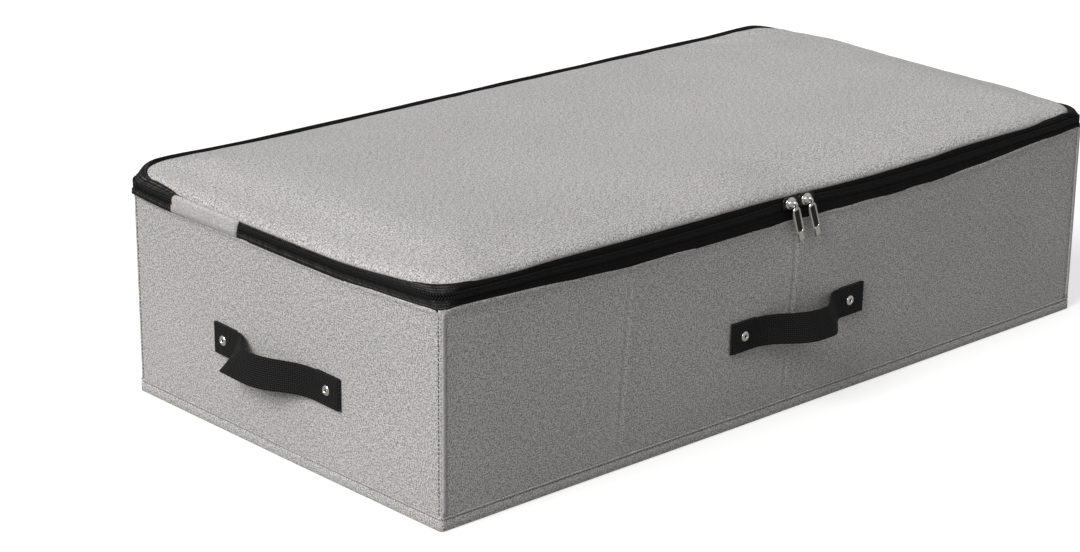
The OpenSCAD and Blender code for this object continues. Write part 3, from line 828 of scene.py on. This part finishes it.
def lidPlace(i, j):
    x, y, face, turn, d, q, runs = lidPoint(i, j)
    along = {"front": x, "back": -x, "right": y, "left": -y}[face]
    near = 1 - smooth(d / (90 * mm))

    def over(value):
        return roundTheCorner(value, face, along, turn, runs)

    bow = over(lambda f, a: bowAt(f, a, wallTop)) * near
    sag = over(lambda f, a: sagAt(f, a, True)) * (1 - smooth(d / lid["soft"]))
    back = over(lambda f, a: 1.0 if f == "back" else 0.0)
    cornered = over(corneredAt)
    tuck = max(back, cornered)
    outline = lid["overhang"] * (1 - tuck) - lid["backInset"] * tuck
    drop = lid["backDrop"] * back + lid["cornerDrop"] * cornered * (1 - back)
    level = bandTop - sag - drop * (1 - smooth(d / lid["soft"]))
    if q < 0:
        offset, z = outline + skirts[q][0], level - skirts[q][1]
    else:
        t = min(1, d / lid["edge"])
        rise = lid["edgeRise"] * math.sqrt(max(0, 1 - (1 - t) ** 2))
        crown = (crownTop - bandTop - lid["edgeRise"]) * (1 - (1 - min(1, d / lid["crownReach"])) ** 2)
        offset, z = outline * (1 - smooth(d / (24 * mm))), level + rise + crown
    spot = Vector((x, y, 0))
    unevenness = noise.noise(spot * 11) * 0.9 + noise.noise(spot * 27 + Vector((5, 2, 0))) * 0.35
    z += smooth(d / (20 * mm)) * unevenness * mm
    pucker = math.exp(-d / (12 * mm)) * noise.noise(Vector((x * 52, y * 52, 3.3)))
    z += lid["pucker"] * pucker * (1 if q >= 0 else 0.25)
    reach = math.hypot(halfLength - 20 * mm - x, (halfWidth - 10 * mm - y) * 1.5)
    if reach < sweep["reach"]:
        fade = smooth(1 - reach / sweep["reach"])
        z += sweep["height"] * math.sin(reach * sweep["pace"] + x * 9) * fade * smooth(d / (25 * mm))
    z = min(z, lidCeiling)
    push = lidNormal(face, turn) * (offset + bow)
    # the turned-in edge lies flat beyond the outline when the cloth is cut
    flat = Vector((x, y)) + lidNormal(face, turn) * max(0, -q) * 2.5 * mm
    return Vector((x + push.x, y + push.y, z)), (flat.x, flat.y)


def swellCloth(piece):
    # The cloth is let go over its wadding, held at its sewn edge, and kept from moving far
    held = piece.vertex_groups.new(name="sewn")
    start = [v.co.copy() for v in piece.data.vertices]
    for v in piece.data.vertices:
        inset = lidPoint(v.index % (lidColumns + 1), v.index // (lidColumns + 1))[4]
        held.add([v.index], 1 - smooth((inset - lid["held"]) / lid["loosening"]), "REPLACE")
    cloth = piece.modifiers.new("cloth", "CLOTH")
    settings = cloth.settings
    settings.quality = 6
    settings.mass = 0.2
    settings.tension_stiffness = 18
    settings.compression_stiffness = 14
    settings.shear_stiffness = 6
    settings.bending_stiffness = 0.8
    settings.effector_weights.gravity = 0
    settings.use_pressure = True
    settings.uniform_pressure_force = 4
    settings.shrink_min = -0.006
    settings.vertex_group_mass = "sewn"
    cloth.point_cache.frame_start = 1
    cloth.point_cache.frame_end = lid["frames"]
    for frameNumber in range(1, lid["frames"] + 1):
        scene.frame_set(frameNumber)
    settled = piece.evaluated_get(bpy.context.evaluated_depsgraph_get()).data
    moved = [v.co.copy() for v in settled.vertices]
    piece.modifiers.remove(cloth)
    piece.vertex_groups.clear()
    farthest = 0.0
    for v, a, b in zip(piece.data.vertices, start, moved):
        step = b - a
        farthest = max(farthest, step.length)
        v.co = a + step * min(1, lid["swell"] / max(step.length, 1e-9))
        v.co.z = min(v.co.z, lidCeiling)
    scene.frame_set(1)
    print("stage lid cloth let go, farthest move", round(farthest / mm, 1), "mm")


lidPad = newPiece("lidPad", gridMesh(lidColumns, lidRows, lidPlace), [greyCloth, liningCloth])
swellCloth(lidPad)
thicken(lidPad, lid["thickness"], innerMaterial=1)
soften(lidPad)
settle(lidPad)
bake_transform(lidPad)
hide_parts("lid_rear_cover", "lid_rear_pad", "lid_rear_lining", "lid_front_cover", "lid_front_pad",
            "lid_front_lining")
print("stage lid")


# ---- Patches over the zipper's ends ----
patches = {"thickness": 0.8 * mm, "out": 2.5 * mm, "edgeOut": 1.25 * mm, "foot": 0.95 * mm,
           "rounding": 10 * mm, "low": -11.5 * mm, "high": 9.2 * mm, "slant": -5.0 * mm}


def zipPatch(face):
    low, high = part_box("zip_patch_" + face)
    nearY, farY = low.y, high.y
    along = spread(nearY, farY - patches["rounding"], 4 * mm)[:-1]
    along += [farY - patches["rounding"] * (1 - math.sin(math.pi / 2 * k / 9)) for k in range(10)]
    ways = [-1, -0.93, -0.8, -0.55, -0.25, 0, 0.25, 0.55, 0.8, 0.93, 1]

    def place(i, j):
        y, k = along[i], (ways[j] + 1) / 2
        a = -y if face == "left" else y
        t = max(0, (y - (farY - patches["rounding"])) / patches["rounding"])
        shrink = patches["rounding"] * (1 - math.sqrt(max(0, 1 - t * t)))
        station = (face, a, 0.0, 0.0)
        bottom = zipLine + patches["low"] - ringSag(station, False)
        top = zipLine + patches["high"] - ringSag(station, True) - shrink
        z = bottom + (top - bottom) * k
        edge = min(1, (1 - ways[j]) / 0.3, (farY - y) / (6 * mm) + 0.05, (y - nearY) / (4 * mm) + 0.35)
        out = patches["edgeOut"] + (patches["out"] - patches["edgeOut"]) * smooth(edge)
        out += (patches["foot"] - out) * (1 - smooth((ways[j] + 1) / 0.5))
        out += ringBow(station, z) + unevenAt(Vector((0, y * 3, z * 3)), 0.7)
        # the near end was cut at a slant
        shift = patches["slant"] * (0.5 - k) * smooth(1 - (y - nearY) / (25 * mm))
        return onWall(face, a + (shift if face == "left" else -shift), out, z), (y, z)

    bm = gridMesh(len(along) - 1, len(ways) - 1, place)
    if face == "left":
        bmesh.ops.reverse_faces(bm, faces=bm.faces)
    piece = newPiece(face + "Patch", bm, [patchCloth])
    thicken(piece, patches["thickness"])
    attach(piece, "box")
    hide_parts("zip_patch_" + face)


for face in ("left", "right"):
    zipPatch(face)


# ---- Raised seam beside each upright corner ----
welt = {"width": 3.8 * mm, "rise": 0.85 * mm, "sides": 10}


def cornerWelts():
    bm = bmesh.new()
    levels = spread(hemTop - 0.5 * mm, wallTop - 1.2 * mm, 6 * mm)
    for face in ("front", "back"):
        for side in (-1, 1):
            middle = side * (halfLength - walls["corner"] - 0.4 * mm)
            column = bmesh.new()
            bmesh.ops.create_cone(column, cap_ends=True, segments=welt["sides"], radius1=0.5, radius2=0.5,
                                  depth=1.0)
            upright = [e for e in column.edges if abs(e.verts[0].co.z - e.verts[1].co.z) > 0.5]
            bmesh.ops.subdivide_edges(column, edges=upright, cuts=len(levels) - 2)
            for v in column.verts:
                z = levels[round((v.co.z + 0.5) * (len(levels) - 1))]
                out = (welt["rise"] if v.co.y > 0 else 0.8 * mm) * v.co.y * 2 + bowAt(face, middle, z)
                out += 0.12 * mm * noise.noise(Vector((middle * 50, 0, z * 90)))
                v.co = onWall(face, middle + v.co.x * welt["width"], out, z - sagLow(face, middle, z))
            addInto(bm, column)
    layer = bm.loops.layers.uv.new("cloth")
    for polygon in bm.faces:
        for loop in polygon.loops:
            loop[layer].uv = (loop.vert.co.x, loop.vert.co.z)
    bmesh.ops.recalc_face_normals(bm, faces=bm.faces)
    piece = newPiece("cornerWelts", bm, [patchCloth])
    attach(piece, "box")
    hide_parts("corner_welts")


cornerWelts()


# ---- Stitches ----
def stitchRow(name, frames, thread, size):
    bm = bmesh.new()
    for matrix in frames:
        shape = matrix @ Matrix.Diagonal((size[0], size[1], size[2], 1))
        bmesh.ops.create_icosphere(bm, subdivisions=1, radius=0.5, matrix=shape)
    piece = newPiece(name, bm, [thread])
    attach(piece, "box")


def ringStitches(corner, outward, level, shape):
    perimeter = ringLength(corner)
    count = round(perimeter / stitches["pitch"])
    for i in range(count):
        station = ringAt(perimeter * (i + 0.5) / count, corner)
        out, drop = shape(station)
        yield ringFrame(station, corner, outward + out, level + drop)


stitches = {"pitch": 3.2 * mm, "size": (2.3 * mm, 0.55 * mm, 0.45 * mm), "corner": 4 * mm,
            "cornerPitch": 3.4 * mm, "cornerSize": (3.1 * mm, 0.85 * mm, 0.6 * mm), "cornerSink": 0.5 * mm}


def alongHem(station):
    return ringBow(station, hem["stitchLine"]), 0.0


def alongCloth(station):
    out = ringBow(station, wallTop, stitches["corner"]) if station[2] == 0 else -0.7 * mm
    return out, -ringSag(station, False, stitches["corner"])


hemRow = ringStitches(stitches["corner"], 0.45 * mm, hem["stitchLine"], alongHem)
clothRow = ringStitches(stitches["corner"], 0.95 * mm, wallTop - walls["stitchDrop"], alongCloth)
stitchRow("hemStitches", hemRow, hemThread, stitches["size"])
stitchRow("clothStitches", clothRow, greyThread, stitches["size"])


def cornerStitches():
    for face in ("left", "right"):
        for side in (-1, 1):
            a = side * (halfWidth - walls["corner"] - walls["seam"])
            for z in spread(hemTop + 2 * mm, wallTop - 3 * mm, stitches["cornerPitch"]):
                point = onWall(face, a, bowAt(face, a, z) - stitches["cornerSink"], z - sagLow(face, a, z))
                out = onWall(face, a, 1, z) - onWall(face, a, 0, z)
                along = Vector((0, 0, 1)).cross(out)
                turn = Matrix((Vector((0, 0, 1)), -along, out)).transposed().to_4x4()
                yield Matrix.Translation(point) @ turn


stitchRow("cornerStitches", cornerStitches(), darkThread, stitches["cornerSize"])
print("stage stitches")


# ---- Handles ----
strap = {"width": 25 * mm, "thickness": 1.5 * mm, "lie": 2.55 * mm, "under": 0.95 * mm, "rise": 57 * mm,
         "end": 76.8 * mm, "underEnd": 50 * mm, "droop": 2.6 * mm, "lean": 2.2 * mm,
         "curl": 0.25 * mm, "stretch": 0.004}
# The loop leaves the wall slowly from one end (start, run) and comes back steeply at the other. There its
# foot and its top edge reach the wall at different places (end) and over different lengths (fall)
handles = {"front": {"lift": 1.6 * mm, "tilt": 0.013, "steepSide": 1, "out": 20.5 * mm, "start": 54 * mm,
                     "run": 62 * mm, "end": (52 * mm, 43 * mm), "fall": (33 * mm, 30 * mm)},
           "left": {"lift": -1.6 * mm, "tilt": -0.030, "steepSide": -1, "out": 18.5 * mm, "start": 50 * mm,
                    "run": 66 * mm, "end": (57 * mm, 44 * mm), "fall": (11 * mm, 24 * mm)},
           "right": {"lift": -0.5 * mm, "tilt": 0.010, "steepSide": 1, "out": 19.0 * mm, "start": 54 * mm,
                     "run": 64 * mm, "end": (51 * mm, 46 * mm), "fall": (28 * mm, 28 * mm)}}
rivetSpots = {"front": (-63.6 * mm, 61.0 * mm), "left": (-66.0 * mm, 63.5 * mm),
              "right": (-63.5 * mm, 63.5 * mm)}


def archOut(a, w, setting):
    toSteep = a * setting["steepSide"]
    end, fall = (foot + (top - foot) * (w + 1) / 2 for foot, top in (setting["end"], setting["fall"]))
    rise = smooth((toSteep + setting["start"]) / setting["run"]) * smooth((end - toSteep) / fall)
    return strap["lie"] + (setting["out"] - strap["lie"]) * rise


def strapPath():
    # (along, outward): under the tab, round its fold, over the arch and back under at the far end
    end, lie, under = strap["end"], strap["lie"], strap["under"]
    bend = (lie - under) / 2
    path = [(-strap["underEnd"] - (end - strap["underEnd"]) * i / 6, under) for i in range(6)]
    turns = [math.pi * k / 6 for k in range(7)]
    path += [(-end - bend * math.sin(turn), under + bend - bend * math.cos(turn)) for turn in turns]
    path += [(-end + (end - strap["rise"]) * i / 7, lie) for i in range(1, 7)]
    half = list(path)
    path += [(a, None) for a in spread(-strap["rise"], strap["rise"], 1.7 * mm)]
    path += [(-a, o) for a, o in reversed(half)]
    return path


def handle(face):
    setting = handles[face]
    path = strapPath()
    middle = [(a, archOut(a, 0, setting) if o is None else o) for a, o in path]
    lengths = [0.0]
    for a, b in zip(middle, middle[1:]):
        lengths.append(lengths[-1] + math.hypot(b[0] - a[0], b[1] - a[1]))
    ways = [-1, -0.94, -0.8, -0.5, -0.17, 0.17, 0.5, 0.8, 0.94, 1]

    def place(i, j):
        a, out = path[i]
        w = ways[j]
        out = archOut(a, w, setting) if out is None else out
        raised = smooth((out - strap["lie"]) / (setting["out"] - strap["lie"]))
        z = handleLevel + setting["lift"] + setting["tilt"] * a
        z += w * strap["width"] / 2 - strap["droop"] * raised
        a2 = a * (1 + strap["stretch"] * w * raised)
        # the strap's foot leans out and its edges curl by a hair
        out2 = out - strap["lean"] * w * raised + strap["curl"] * w * w * raised
        out2 += bowAt(face, a, z)
        return onWall(face, a2, out2, z), (lengths[i], w * strap["width"] / 2)

    bm = gridMesh(len(path) - 1, len(ways) - 1, place)
    piece = newPiece(face + "Handle", bm, [webbing])
    thicken(piece, strap["thickness"], offset=0.0)
    settle(piece)
    outWay = {"front": (0, -1), "left": (-1, 0), "right": (1, 0)}[face]
    reach = halfWidth if face == "front" else halfLength
    bow = bowAt(face, 0, handleLevel)
    ends = [(outWay[0] * (reach + bow + d), outWay[1] * (reach + bow + d), handleLevel)
            for d in (4.5 * mm, 15 * mm)]
    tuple(ends[0])
    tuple(ends[1])
    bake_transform(piece)
    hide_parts("handle_" + face + "_ends", "handle_" + face + "_loop")


for face in ("front", "left", "right"):
    handle(face)


# ---- Tubular rivets: a domed head with a dimple, a shank and a rolled tail inside ----
rivet = {"steps": 28, "tail": -6.3 * mm,
         # radius and height above the strap, in mm: the tube's hollow, its rolled rim, outer edge and shank
         "head": ((0.0, -3.6), (1.05, -3.5), (1.2, -2.6), (1.22, 0.1), (1.4, 0.7), (1.8, 1.12), (2.4, 1.27),
                  (3.1, 1.12), (3.7, 0.75), (4.15, 0.3), (4.3, 0.02), (4.2, -0.05), (1.9, -0.05)),
         # radius and height above the tail's own level, in mm: the rolled end inside the wall
         "roll": ((1.9, 0.6), (2.9, 0.5), (3.1, 0.0), (2.6, -0.5), (1.9, -0.3), (1.5, 0.0), (0.0, 0.0))}


def rivetHeads():
    bm = bmesh.new()
    for face in ("front", "left", "right"):
        for spot in rivetSpots[face]:
            z = handleLevel + handles[face]["lift"] + handles[face]["tilt"] * spot
            lift = strap["lie"] + strap["thickness"] / 2 + bowAt(face, spot, z)
            base = onWall(face, spot, 0, z)
            out = onWall(face, spot, 1, z) - base
            side = Vector((0, 0, 1)).cross(out)
            profile = [(r * mm, lift + h * mm) for r, h in rivet["head"]]
            profile += [(r * mm, rivet["tail"] + h * mm) for r, h in rivet["roll"]]
            verts = [bm.verts.new(base + side * r + out * h) for r, h in profile]
            edges = [bm.edges.new(pair) for pair in zip(verts, verts[1:])]
            bmesh.ops.spin(bm, geom=verts + edges, cent=base, axis=out, dvec=(0, 0, 0), angle=2 * math.pi,
                           steps=rivet["steps"], use_merge=True)
    bmesh.ops.remove_doubles(bm, verts=bm.verts, dist=1e-6)
    bmesh.ops.recalc_face_normals(bm, faces=bm.faces)
    piece = newPiece("rivetHeads", bm, [nickel])
    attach(piece, "box")
    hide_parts("rivets")


rivetHeads()
print("stage handles")


# ---- Inside: linings, binding over the rim, base cloth and the loose base board ----
inner = {"liningDepth": 3.9 * mm, "liningThickness": 0.8 * mm, "bindingThickness": 0.5 * mm}


def liningPanel(face):
    low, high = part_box(face + "_lining")
    long = face in ("front", "back")
    half = high.x if long else high.y
    along = spread(-half, half, 9 * mm)
    if long:
        along = withDetail(along, creases["back"]["spots"], creaseGaps)
    levels = spread(low.z, high.z, 9 * mm)

    def place(i, j):
        a, z = along[i], levels[j]
        soft = smooth((half - abs(a)) / (20 * mm)) * smooth((high.z - z) / (12 * mm))
        soft *= smooth((z - low.z) / (12 * mm))
        depth = inner["liningDepth"] + inner["liningThickness"]
        sink = 0.35 * mm * (1 + noise.noise(Vector((a * 12, 0, z * 12)))) * soft
        if long:
            sink += -creaseAt("back", a) * 0.35 * soft
        return onWall(face, a, -depth - max(0.0, sink), z), (a, z)

    bm = gridMesh(len(along) - 1, len(levels) - 1, place)
    bmesh.ops.reverse_faces(bm, faces=bm.faces)
    piece = newPiece(face + "Lining", bm, [liningCloth])
    thicken(piece, inner["liningThickness"])
    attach(piece, "box")
    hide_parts(face + "_lining")


for face in ("front", "back", "left", "right"):
    liningPanel(face)

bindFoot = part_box("rim_binding")[0].z
# Over the rim from outside: corner radius, outward place and level
bindRows = [(14 * mm, -0.1 * mm, bindFoot), (14 * mm, 0.0, rimTop - 1.4 * mm),
            (14 * mm, -0.5 * mm, rimTop - 0.3 * mm), (14 * mm, -2.3 * mm, rimTop + 0.05 * mm),
            (12 * mm, -4.2 * mm, rimTop - 0.3 * mm), (11 * mm, -4.85 * mm, rimTop - 1.5 * mm),
            (11 * mm, -5.0 * mm, bindFoot - 2 * mm), (11 * mm, -5.0 * mm, bindFoot - 7 * mm)]
rimBinding = ringSheet("rimBinding", bindRows, [bindingCloth],
                       lambda station, row: (0.0, 0.0))
thicken(rimBinding, inner["bindingThickness"])
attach(rimBinding, "box")
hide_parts("rim_binding")


def flatSheet(name, node, thickness, material, body, creased, step=12 * mm):
    low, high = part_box(node)
    across = spread(low.x, high.x, step)
    if creased:
        across = withDetail(across, creases["back"]["spots"], creaseGaps)
    deep = spread(low.y, high.y, step)

    def place(i, j):
        x, y = across[i], deep[j]
        edge = min(high.x - abs(x), high.y - abs(y))
        z = high.z - 0.25 * mm * (1 + noise.noise(Vector((x * 10, y * 10, 0)))) * smooth(edge / (15 * mm))
        if creased:
            z += creaseAt("back", x) * 0.7
        z -= (high.z - low.z) * 0.35 * (1 - smooth(edge / (3 * mm))) if creased else 0
        return Vector((x, y, min(z, high.z))), (x, y)

    piece = newPiece(name, gridMesh(len(across) - 1, len(deep) - 1, place), [material])
    thicken(piece, thickness)
    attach(piece, body)
    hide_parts(node)
    return piece


baseLow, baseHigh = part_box("base_cover")
baseCloth = flatSheet("baseCloth", "base_cover", min(1.0 * mm, baseHigh.z - baseLow.z - 0.3 * mm), greyCloth,
                      "box", False)
sleeveLow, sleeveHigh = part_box("base_sleeve")
flatSheet("baseSleeve", "base_sleeve", sleeveHigh.z - sleeveLow.z - 0.4 * mm, liningCloth,
          "base_board", True, step=9 * mm)
print("stage inside")


# ---- Sliders and pulls ----
hardware = {"plate": 1.3 * mm, "nose": 3.2 * mm, "roll": 0.75 * mm, "taper": 0.86, "bailRod": 0.8 * mm,
            "bailRadius": 4.0 * mm, "bailWidth": 4.2 * mm, "boss": (6.0 * mm, 2.0 * mm, 4.9 * mm),
            "divider": 0.6 * mm, "flange": 0.8 * mm}
pull = {"length": 33 * mm, "width": 8.4 * mm, "rail": 1.6 * mm, "slotTop": 5.6 * mm, "grip": 8 * mm,
        "neck": (3.9 * mm, 2.6 * mm), "thickness": 1.5 * mm, "floor": 0.5 * mm, "eye": 1.95 * mm,
        "cornerRound": 0.9 * mm, "edgeRound": 0.3 * mm, "swing": {"left": 18, "right": 20}}


def boxShape(bm, size, place, bevel):
    made = bmesh.ops.create_cube(bm, size=1.0, matrix=Matrix.Translation(place) @ Matrix.Diagonal((*size, 1)))
    if bevel:
        edges = list(dict.fromkeys(e for v in made["verts"] for e in v.link_edges))
        bevelEdges(bm, edges, bevel, 2)


def roundedPlate(bm, length, width, thickness, place, wideSide, crown):
    # A slider's plate: rounded outline, narrower at one end, its outer edges rolled
    flat = bmesh.new()
    made = bmesh.ops.create_cube(flat, size=1.0, matrix=Matrix.Diagonal((length, thickness, width, 1)))
    for v in made["verts"]:
        if v.co.x * wideSide < 0:
            v.co.z *= hardware["taper"]
    upright = [e for e in flat.edges if abs(e.verts[0].co.y - e.verts[1].co.y) > thickness / 2]
    bevelEdges(flat, upright, hardware["nose"], 5)
    rolled = [e for e in flat.edges if abs(e.verts[0].co.y - e.verts[1].co.y) < 1e-6
              and e.verts[0].co.y * crown > 0 and len({abs(f.normal.y) > 0.5 for f in e.link_faces}) > 1]
    bevelEdges(flat, rolled, hardware["roll"], 3)
    bmesh.ops.transform(flat, matrix=Matrix.Translation(place), verts=flat.verts)
    addInto(bm, flat)


def sliderPiece(side):
    low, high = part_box("slider_" + side)
    middle, length, width = (low.x + high.x) / 2, high.x - low.x, high.z - low.z
    wideSide = 1 if side == "left" else -1
    bailTop = low.y + hardware["bailRod"]
    plateOut = bailTop + hardware["bailRadius"]
    bm = bmesh.new()
    plates = bmesh.new()
    for y, crown in ((plateOut + hardware["plate"] / 2, -1), (high.y - hardware["plate"] / 2, 1)):
        roundedPlate(plates, length, width, hardware["plate"], (middle, y, zipLine), wideSide, crown)
    for face in plates.faces:
        face.material_index = 1
    addInto(bm, plates)
    # a bright boss under the bail
    bmesh.ops.create_icosphere(bm, subdivisions=4, radius=1.0, matrix=Matrix.Translation(
        (middle, plateOut + 0.2 * mm, zipLine)) @ Matrix.Diagonal((*hardware["boss"], 1)))
    reach = high.y - plateOut - hardware["plate"]
    dividerY = plateOut + hardware["plate"] / 2 + reach / 2
    dividerPlace = (middle + wideSide * (length / 2 - 2 * mm), dividerY, zipLine)
    boxShape(bm, (2.4 * mm, reach, hardware["divider"]), dividerPlace, 0)
    for edge in (-1, 1):
        boxShape(bm, (length * 0.62, 1.9 * mm, hardware["flange"]),
                 (middle - wideSide * length * 0.04, plateOut + hardware["plate"] + 0.6 * mm,
                  zipLine + edge * (width * hardware["taper"] / 2 - hardware["flange"] / 2)), 0.25 * mm)
    # the bail is one flat strip bent over the pull's eye
    rod, radius, half = hardware["bailRod"], hardware["bailRadius"], hardware["bailWidth"] / 2
    centre = Vector((middle, plateOut + 0.2 * mm, zipLine))
    bar = [bm.verts.new(centre + Vector((radius + a * rod * 0.8, 0, b * half)))
           for a, b in ((-1, -0.7), (-0.4, -1), (0.4, -1), (1, -0.7), (1, 0.7), (0.4, 1), (-0.4, 1),
                        (-1, 0.7))]
    face = bm.faces.new(bar)
    bmesh.ops.spin(bm, geom=[face], cent=centre, axis=(0, 0, 1), dvec=(0, 0, 0), angle=-math.pi, steps=20)
    bmesh.ops.recalc_face_normals(bm, faces=bm.faces)
    piece = newPiece("slider" + side.capitalize(), bm, [nickel, darkNickel])
    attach(piece, "slider_" + side)
    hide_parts("slider_" + side)
    return Vector((middle, bailTop, zipLine))


def pullPiece(side, eyePlace):
    bm = bmesh.new()
    bmesh.ops.create_grid(bm, x_segments=3, y_segments=4, size=1.0)
    half = pull["width"] / 2
    columns = [-half, -half + pull["rail"], half - pull["rail"], half]
    rows = [-pull["length"], -pull["length"] + pull["grip"], -pull["slotTop"]] + [-n for n in pull["neck"]]
    for v in bm.verts:
        i, j = round((v.co.x + 1) / 2 * 3), round((v.co.y + 1) / 2 * 4)
        narrow = {4: 0.30, 3: 0.74}.get(j, 1.0)
        v.co = Vector((columns[i] * narrow, 0, rows[j]))
    slot = [f for f in bm.faces if abs(f.calc_center_median().x) < 1e-6
            and rows[1] < f.calc_center_median().z < rows[2]]
    bmesh.ops.delete(bm, geom=slot, context="FACES")
    bmesh.ops.solidify(bm, geom=list(bm.faces), thickness=pull["thickness"])
    bmesh.ops.translate(bm, verts=bm.verts, vec=(0, pull["thickness"] / 2 - max(v.co.y for v in bm.verts), 0))
    bmesh.ops.recalc_face_normals(bm, faces=bm.faces)
    corners = [e for e in bm.edges if abs(e.verts[0].co.y - e.verts[1].co.y) > pull["thickness"] / 2
               and e.is_manifold and e.calc_face_angle() > 0.5]
    bevelEdges(bm, corners, pull["cornerRound"], 3)
    rims = [e for e in bm.edges if e.is_manifold and e.calc_face_angle() > 1.2]
    bevelEdges(bm, rims, pull["edgeRound"], 2)
    # the slot has a dark floor, sunk between the rails
    floor = bmesh.new()
    floorSize = (pull["width"] - 2 * pull["rail"] + 0.6 * mm, pull["floor"], rows[2] - rows[1] + 0.6 * mm)
    boxShape(floor, floorSize, (0, 0, (rows[1] + rows[2]) / 2), 0)
    for face in floor.faces:
        face.material_index = 1
    addInto(bm, floor)
    # the eye is a band round the bail
    band = [bm.verts.new(Vector((x * mm, 0, -pull["eye"] + r * mm)))
            for x, r in ((-1.1, 0.3), (-0.8, 0.5), (0.8, 0.5), (1.1, 0.3), (1.1, -0.5), (0.8, -0.75),
                         (-0.8, -0.75), (-1.1, -0.5))]
    face = bm.faces.new(band)
    bmesh.ops.spin(bm, geom=[face], cent=(0, 0, 0), axis=(1, 0, 0), dvec=(0, 0, 0), angle=2 * math.pi,
                   steps=24, use_merge=True)
    inside = [f for f in bm.faces if len(f.verts) == 8]
    bmesh.ops.delete(bm, geom=inside, context="FACES_ONLY")
    bmesh.ops.recalc_face_normals(bm, faces=bm.faces)
    swing = Matrix.Rotation(-math.radians(pull["swing"][side]), 4, "Y")
    bmesh.ops.transform(bm, matrix=Matrix.Translation(eyePlace) @ swing, verts=bm.verts)
    piece = newPiece("pull" + side.capitalize(), bm, [nickel, darkNickel], smoothFaces=False)
    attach(piece, "pull_" + side)
    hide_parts("pull_" + side)


for side in ("left", "right"):
    pullPiece(side, sliderPiece(side))
print("stage sliders")


# ---- Pieces kept from the frame ----
def finishNodes(names, material):
    for name in names:
        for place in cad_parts[name].material_slots:
            place.material = material


finishNodes(("rivet_washers",), nickel)
finishNodes([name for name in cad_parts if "_board" in name or name == "base_leaves"], board)


# ---- Floor, light and camera ----
light = {"sun": 3.25, "sunAngle": 0.55, "toSun": (-0.756, -0.05, 0.652), "sky": 0.44, "floorBounce": 0.30,
         "floorSeen": 0.5, "floorGlow": 0.58, "sunColour": (1.0, 0.985, 0.965),
         "skyColour": (0.985, 0.985, 1.0, 1)}


def rayShare(tree):
    rays = tree.nodes.new("ShaderNodeLightPath").outputs
    return mathNode(tree, "MAXIMUM", rays["Is Camera Ray"], rays["Is Transmission Ray"])


def studio():
    bm = bmesh.new()
    bmesh.ops.create_grid(bm, x_segments=2, y_segments=2, size=9.0,
                          matrix=Matrix.Translation((0, 0, -0.0002)))
    mesh = bpy.data.meshes.new("floor")
    bm.to_mesh(mesh)
    bm.free()
    material = bpy.data.materials.new("floorPaint")
    material.use_nodes = True
    tree = material.node_tree
    tree.nodes.clear()
    bounce, seen = (addNode(tree, "ShaderNodeBsdfDiffuse", None, Color=grey(light[key])).outputs[0]
                    for key in ("floorBounce", "floorSeen"))
    glow = addNode(tree, "ShaderNodeEmission", None, Color=grey(1.0), Strength=light["floorGlow"]).outputs[0]
    both = tree.nodes.new("ShaderNodeAddShader")
    tree.links.new(seen, both.inputs[0])
    tree.links.new(glow, both.inputs[1])
    mix = addNode(tree, "ShaderNodeMixShader", None, i0=rayShare(tree), i1=bounce, i2=both.outputs[0])
    output = tree.nodes.new("ShaderNodeOutputMaterial")
    tree.links.new(mix.outputs[0], output.inputs["Surface"])
    mesh.materials.append(material)
    floor = bpy.data.objects.new("floor", mesh)
    scene.collection.objects.link(floor)
    world = bpy.data.worlds.new("studio")
    scene.world = world
    world.use_nodes = True
    tree = world.node_tree
    back = tree.nodes["Background"]
    share = rayShare(tree)
    tree.links.new(mixColour(tree, share, light["skyColour"], (1, 1, 1, 1)), back.inputs["Color"])
    strength = mathNode(tree, "ADD", light["sky"], mathNode(tree, "MULTIPLY", share, 1 - light["sky"]))
    tree.links.new(strength, back.inputs["Strength"])
    sun = bpy.data.lights.new("window", "SUN")
    sun.energy = light["sun"]
    sun.angle = light["sunAngle"]
    sun.color = light["sunColour"]
    lamp = bpy.data.objects.new("window", sun)
    lamp.rotation_mode = "QUATERNION"
    lamp.rotation_quaternion = Vector(light["toSun"]).to_track_quat("Z", "Y")
    scene.collection.objects.link(lamp)


studio()

eye = {"place": (-1.4936, -1.5070, 0.7778), "azimuth": -42.71, "elevation": 18.6, "roll": 0.52, "lens": 87.0}


def placeCamera():
    a, e, r = (math.radians(eye[key]) for key in ("azimuth", "elevation", "roll"))
    back = Vector((math.sin(a) * math.cos(e), -math.cos(a) * math.cos(e), math.sin(e)))
    right = Vector((math.cos(a), math.sin(a), 0))
    up = back.cross(right)
    sideways = math.cos(r) * right + math.sin(r) * up
    upright = -math.sin(r) * right + math.cos(r) * up
    data = bpy.data.cameras.new("camera")
    data.lens = eye["lens"]
    data.sensor_width = 36.0
    data.clip_start = 0.05
    camera = bpy.data.objects.new("camera", data)
    camera.matrix_world = Matrix.Translation(eye["place"]) @ Matrix(
        (sideways, upright, back)).transposed().to_4x4()
    scene.collection.objects.link(camera)
    scene.camera = camera


placeCamera()
print("stage studio")
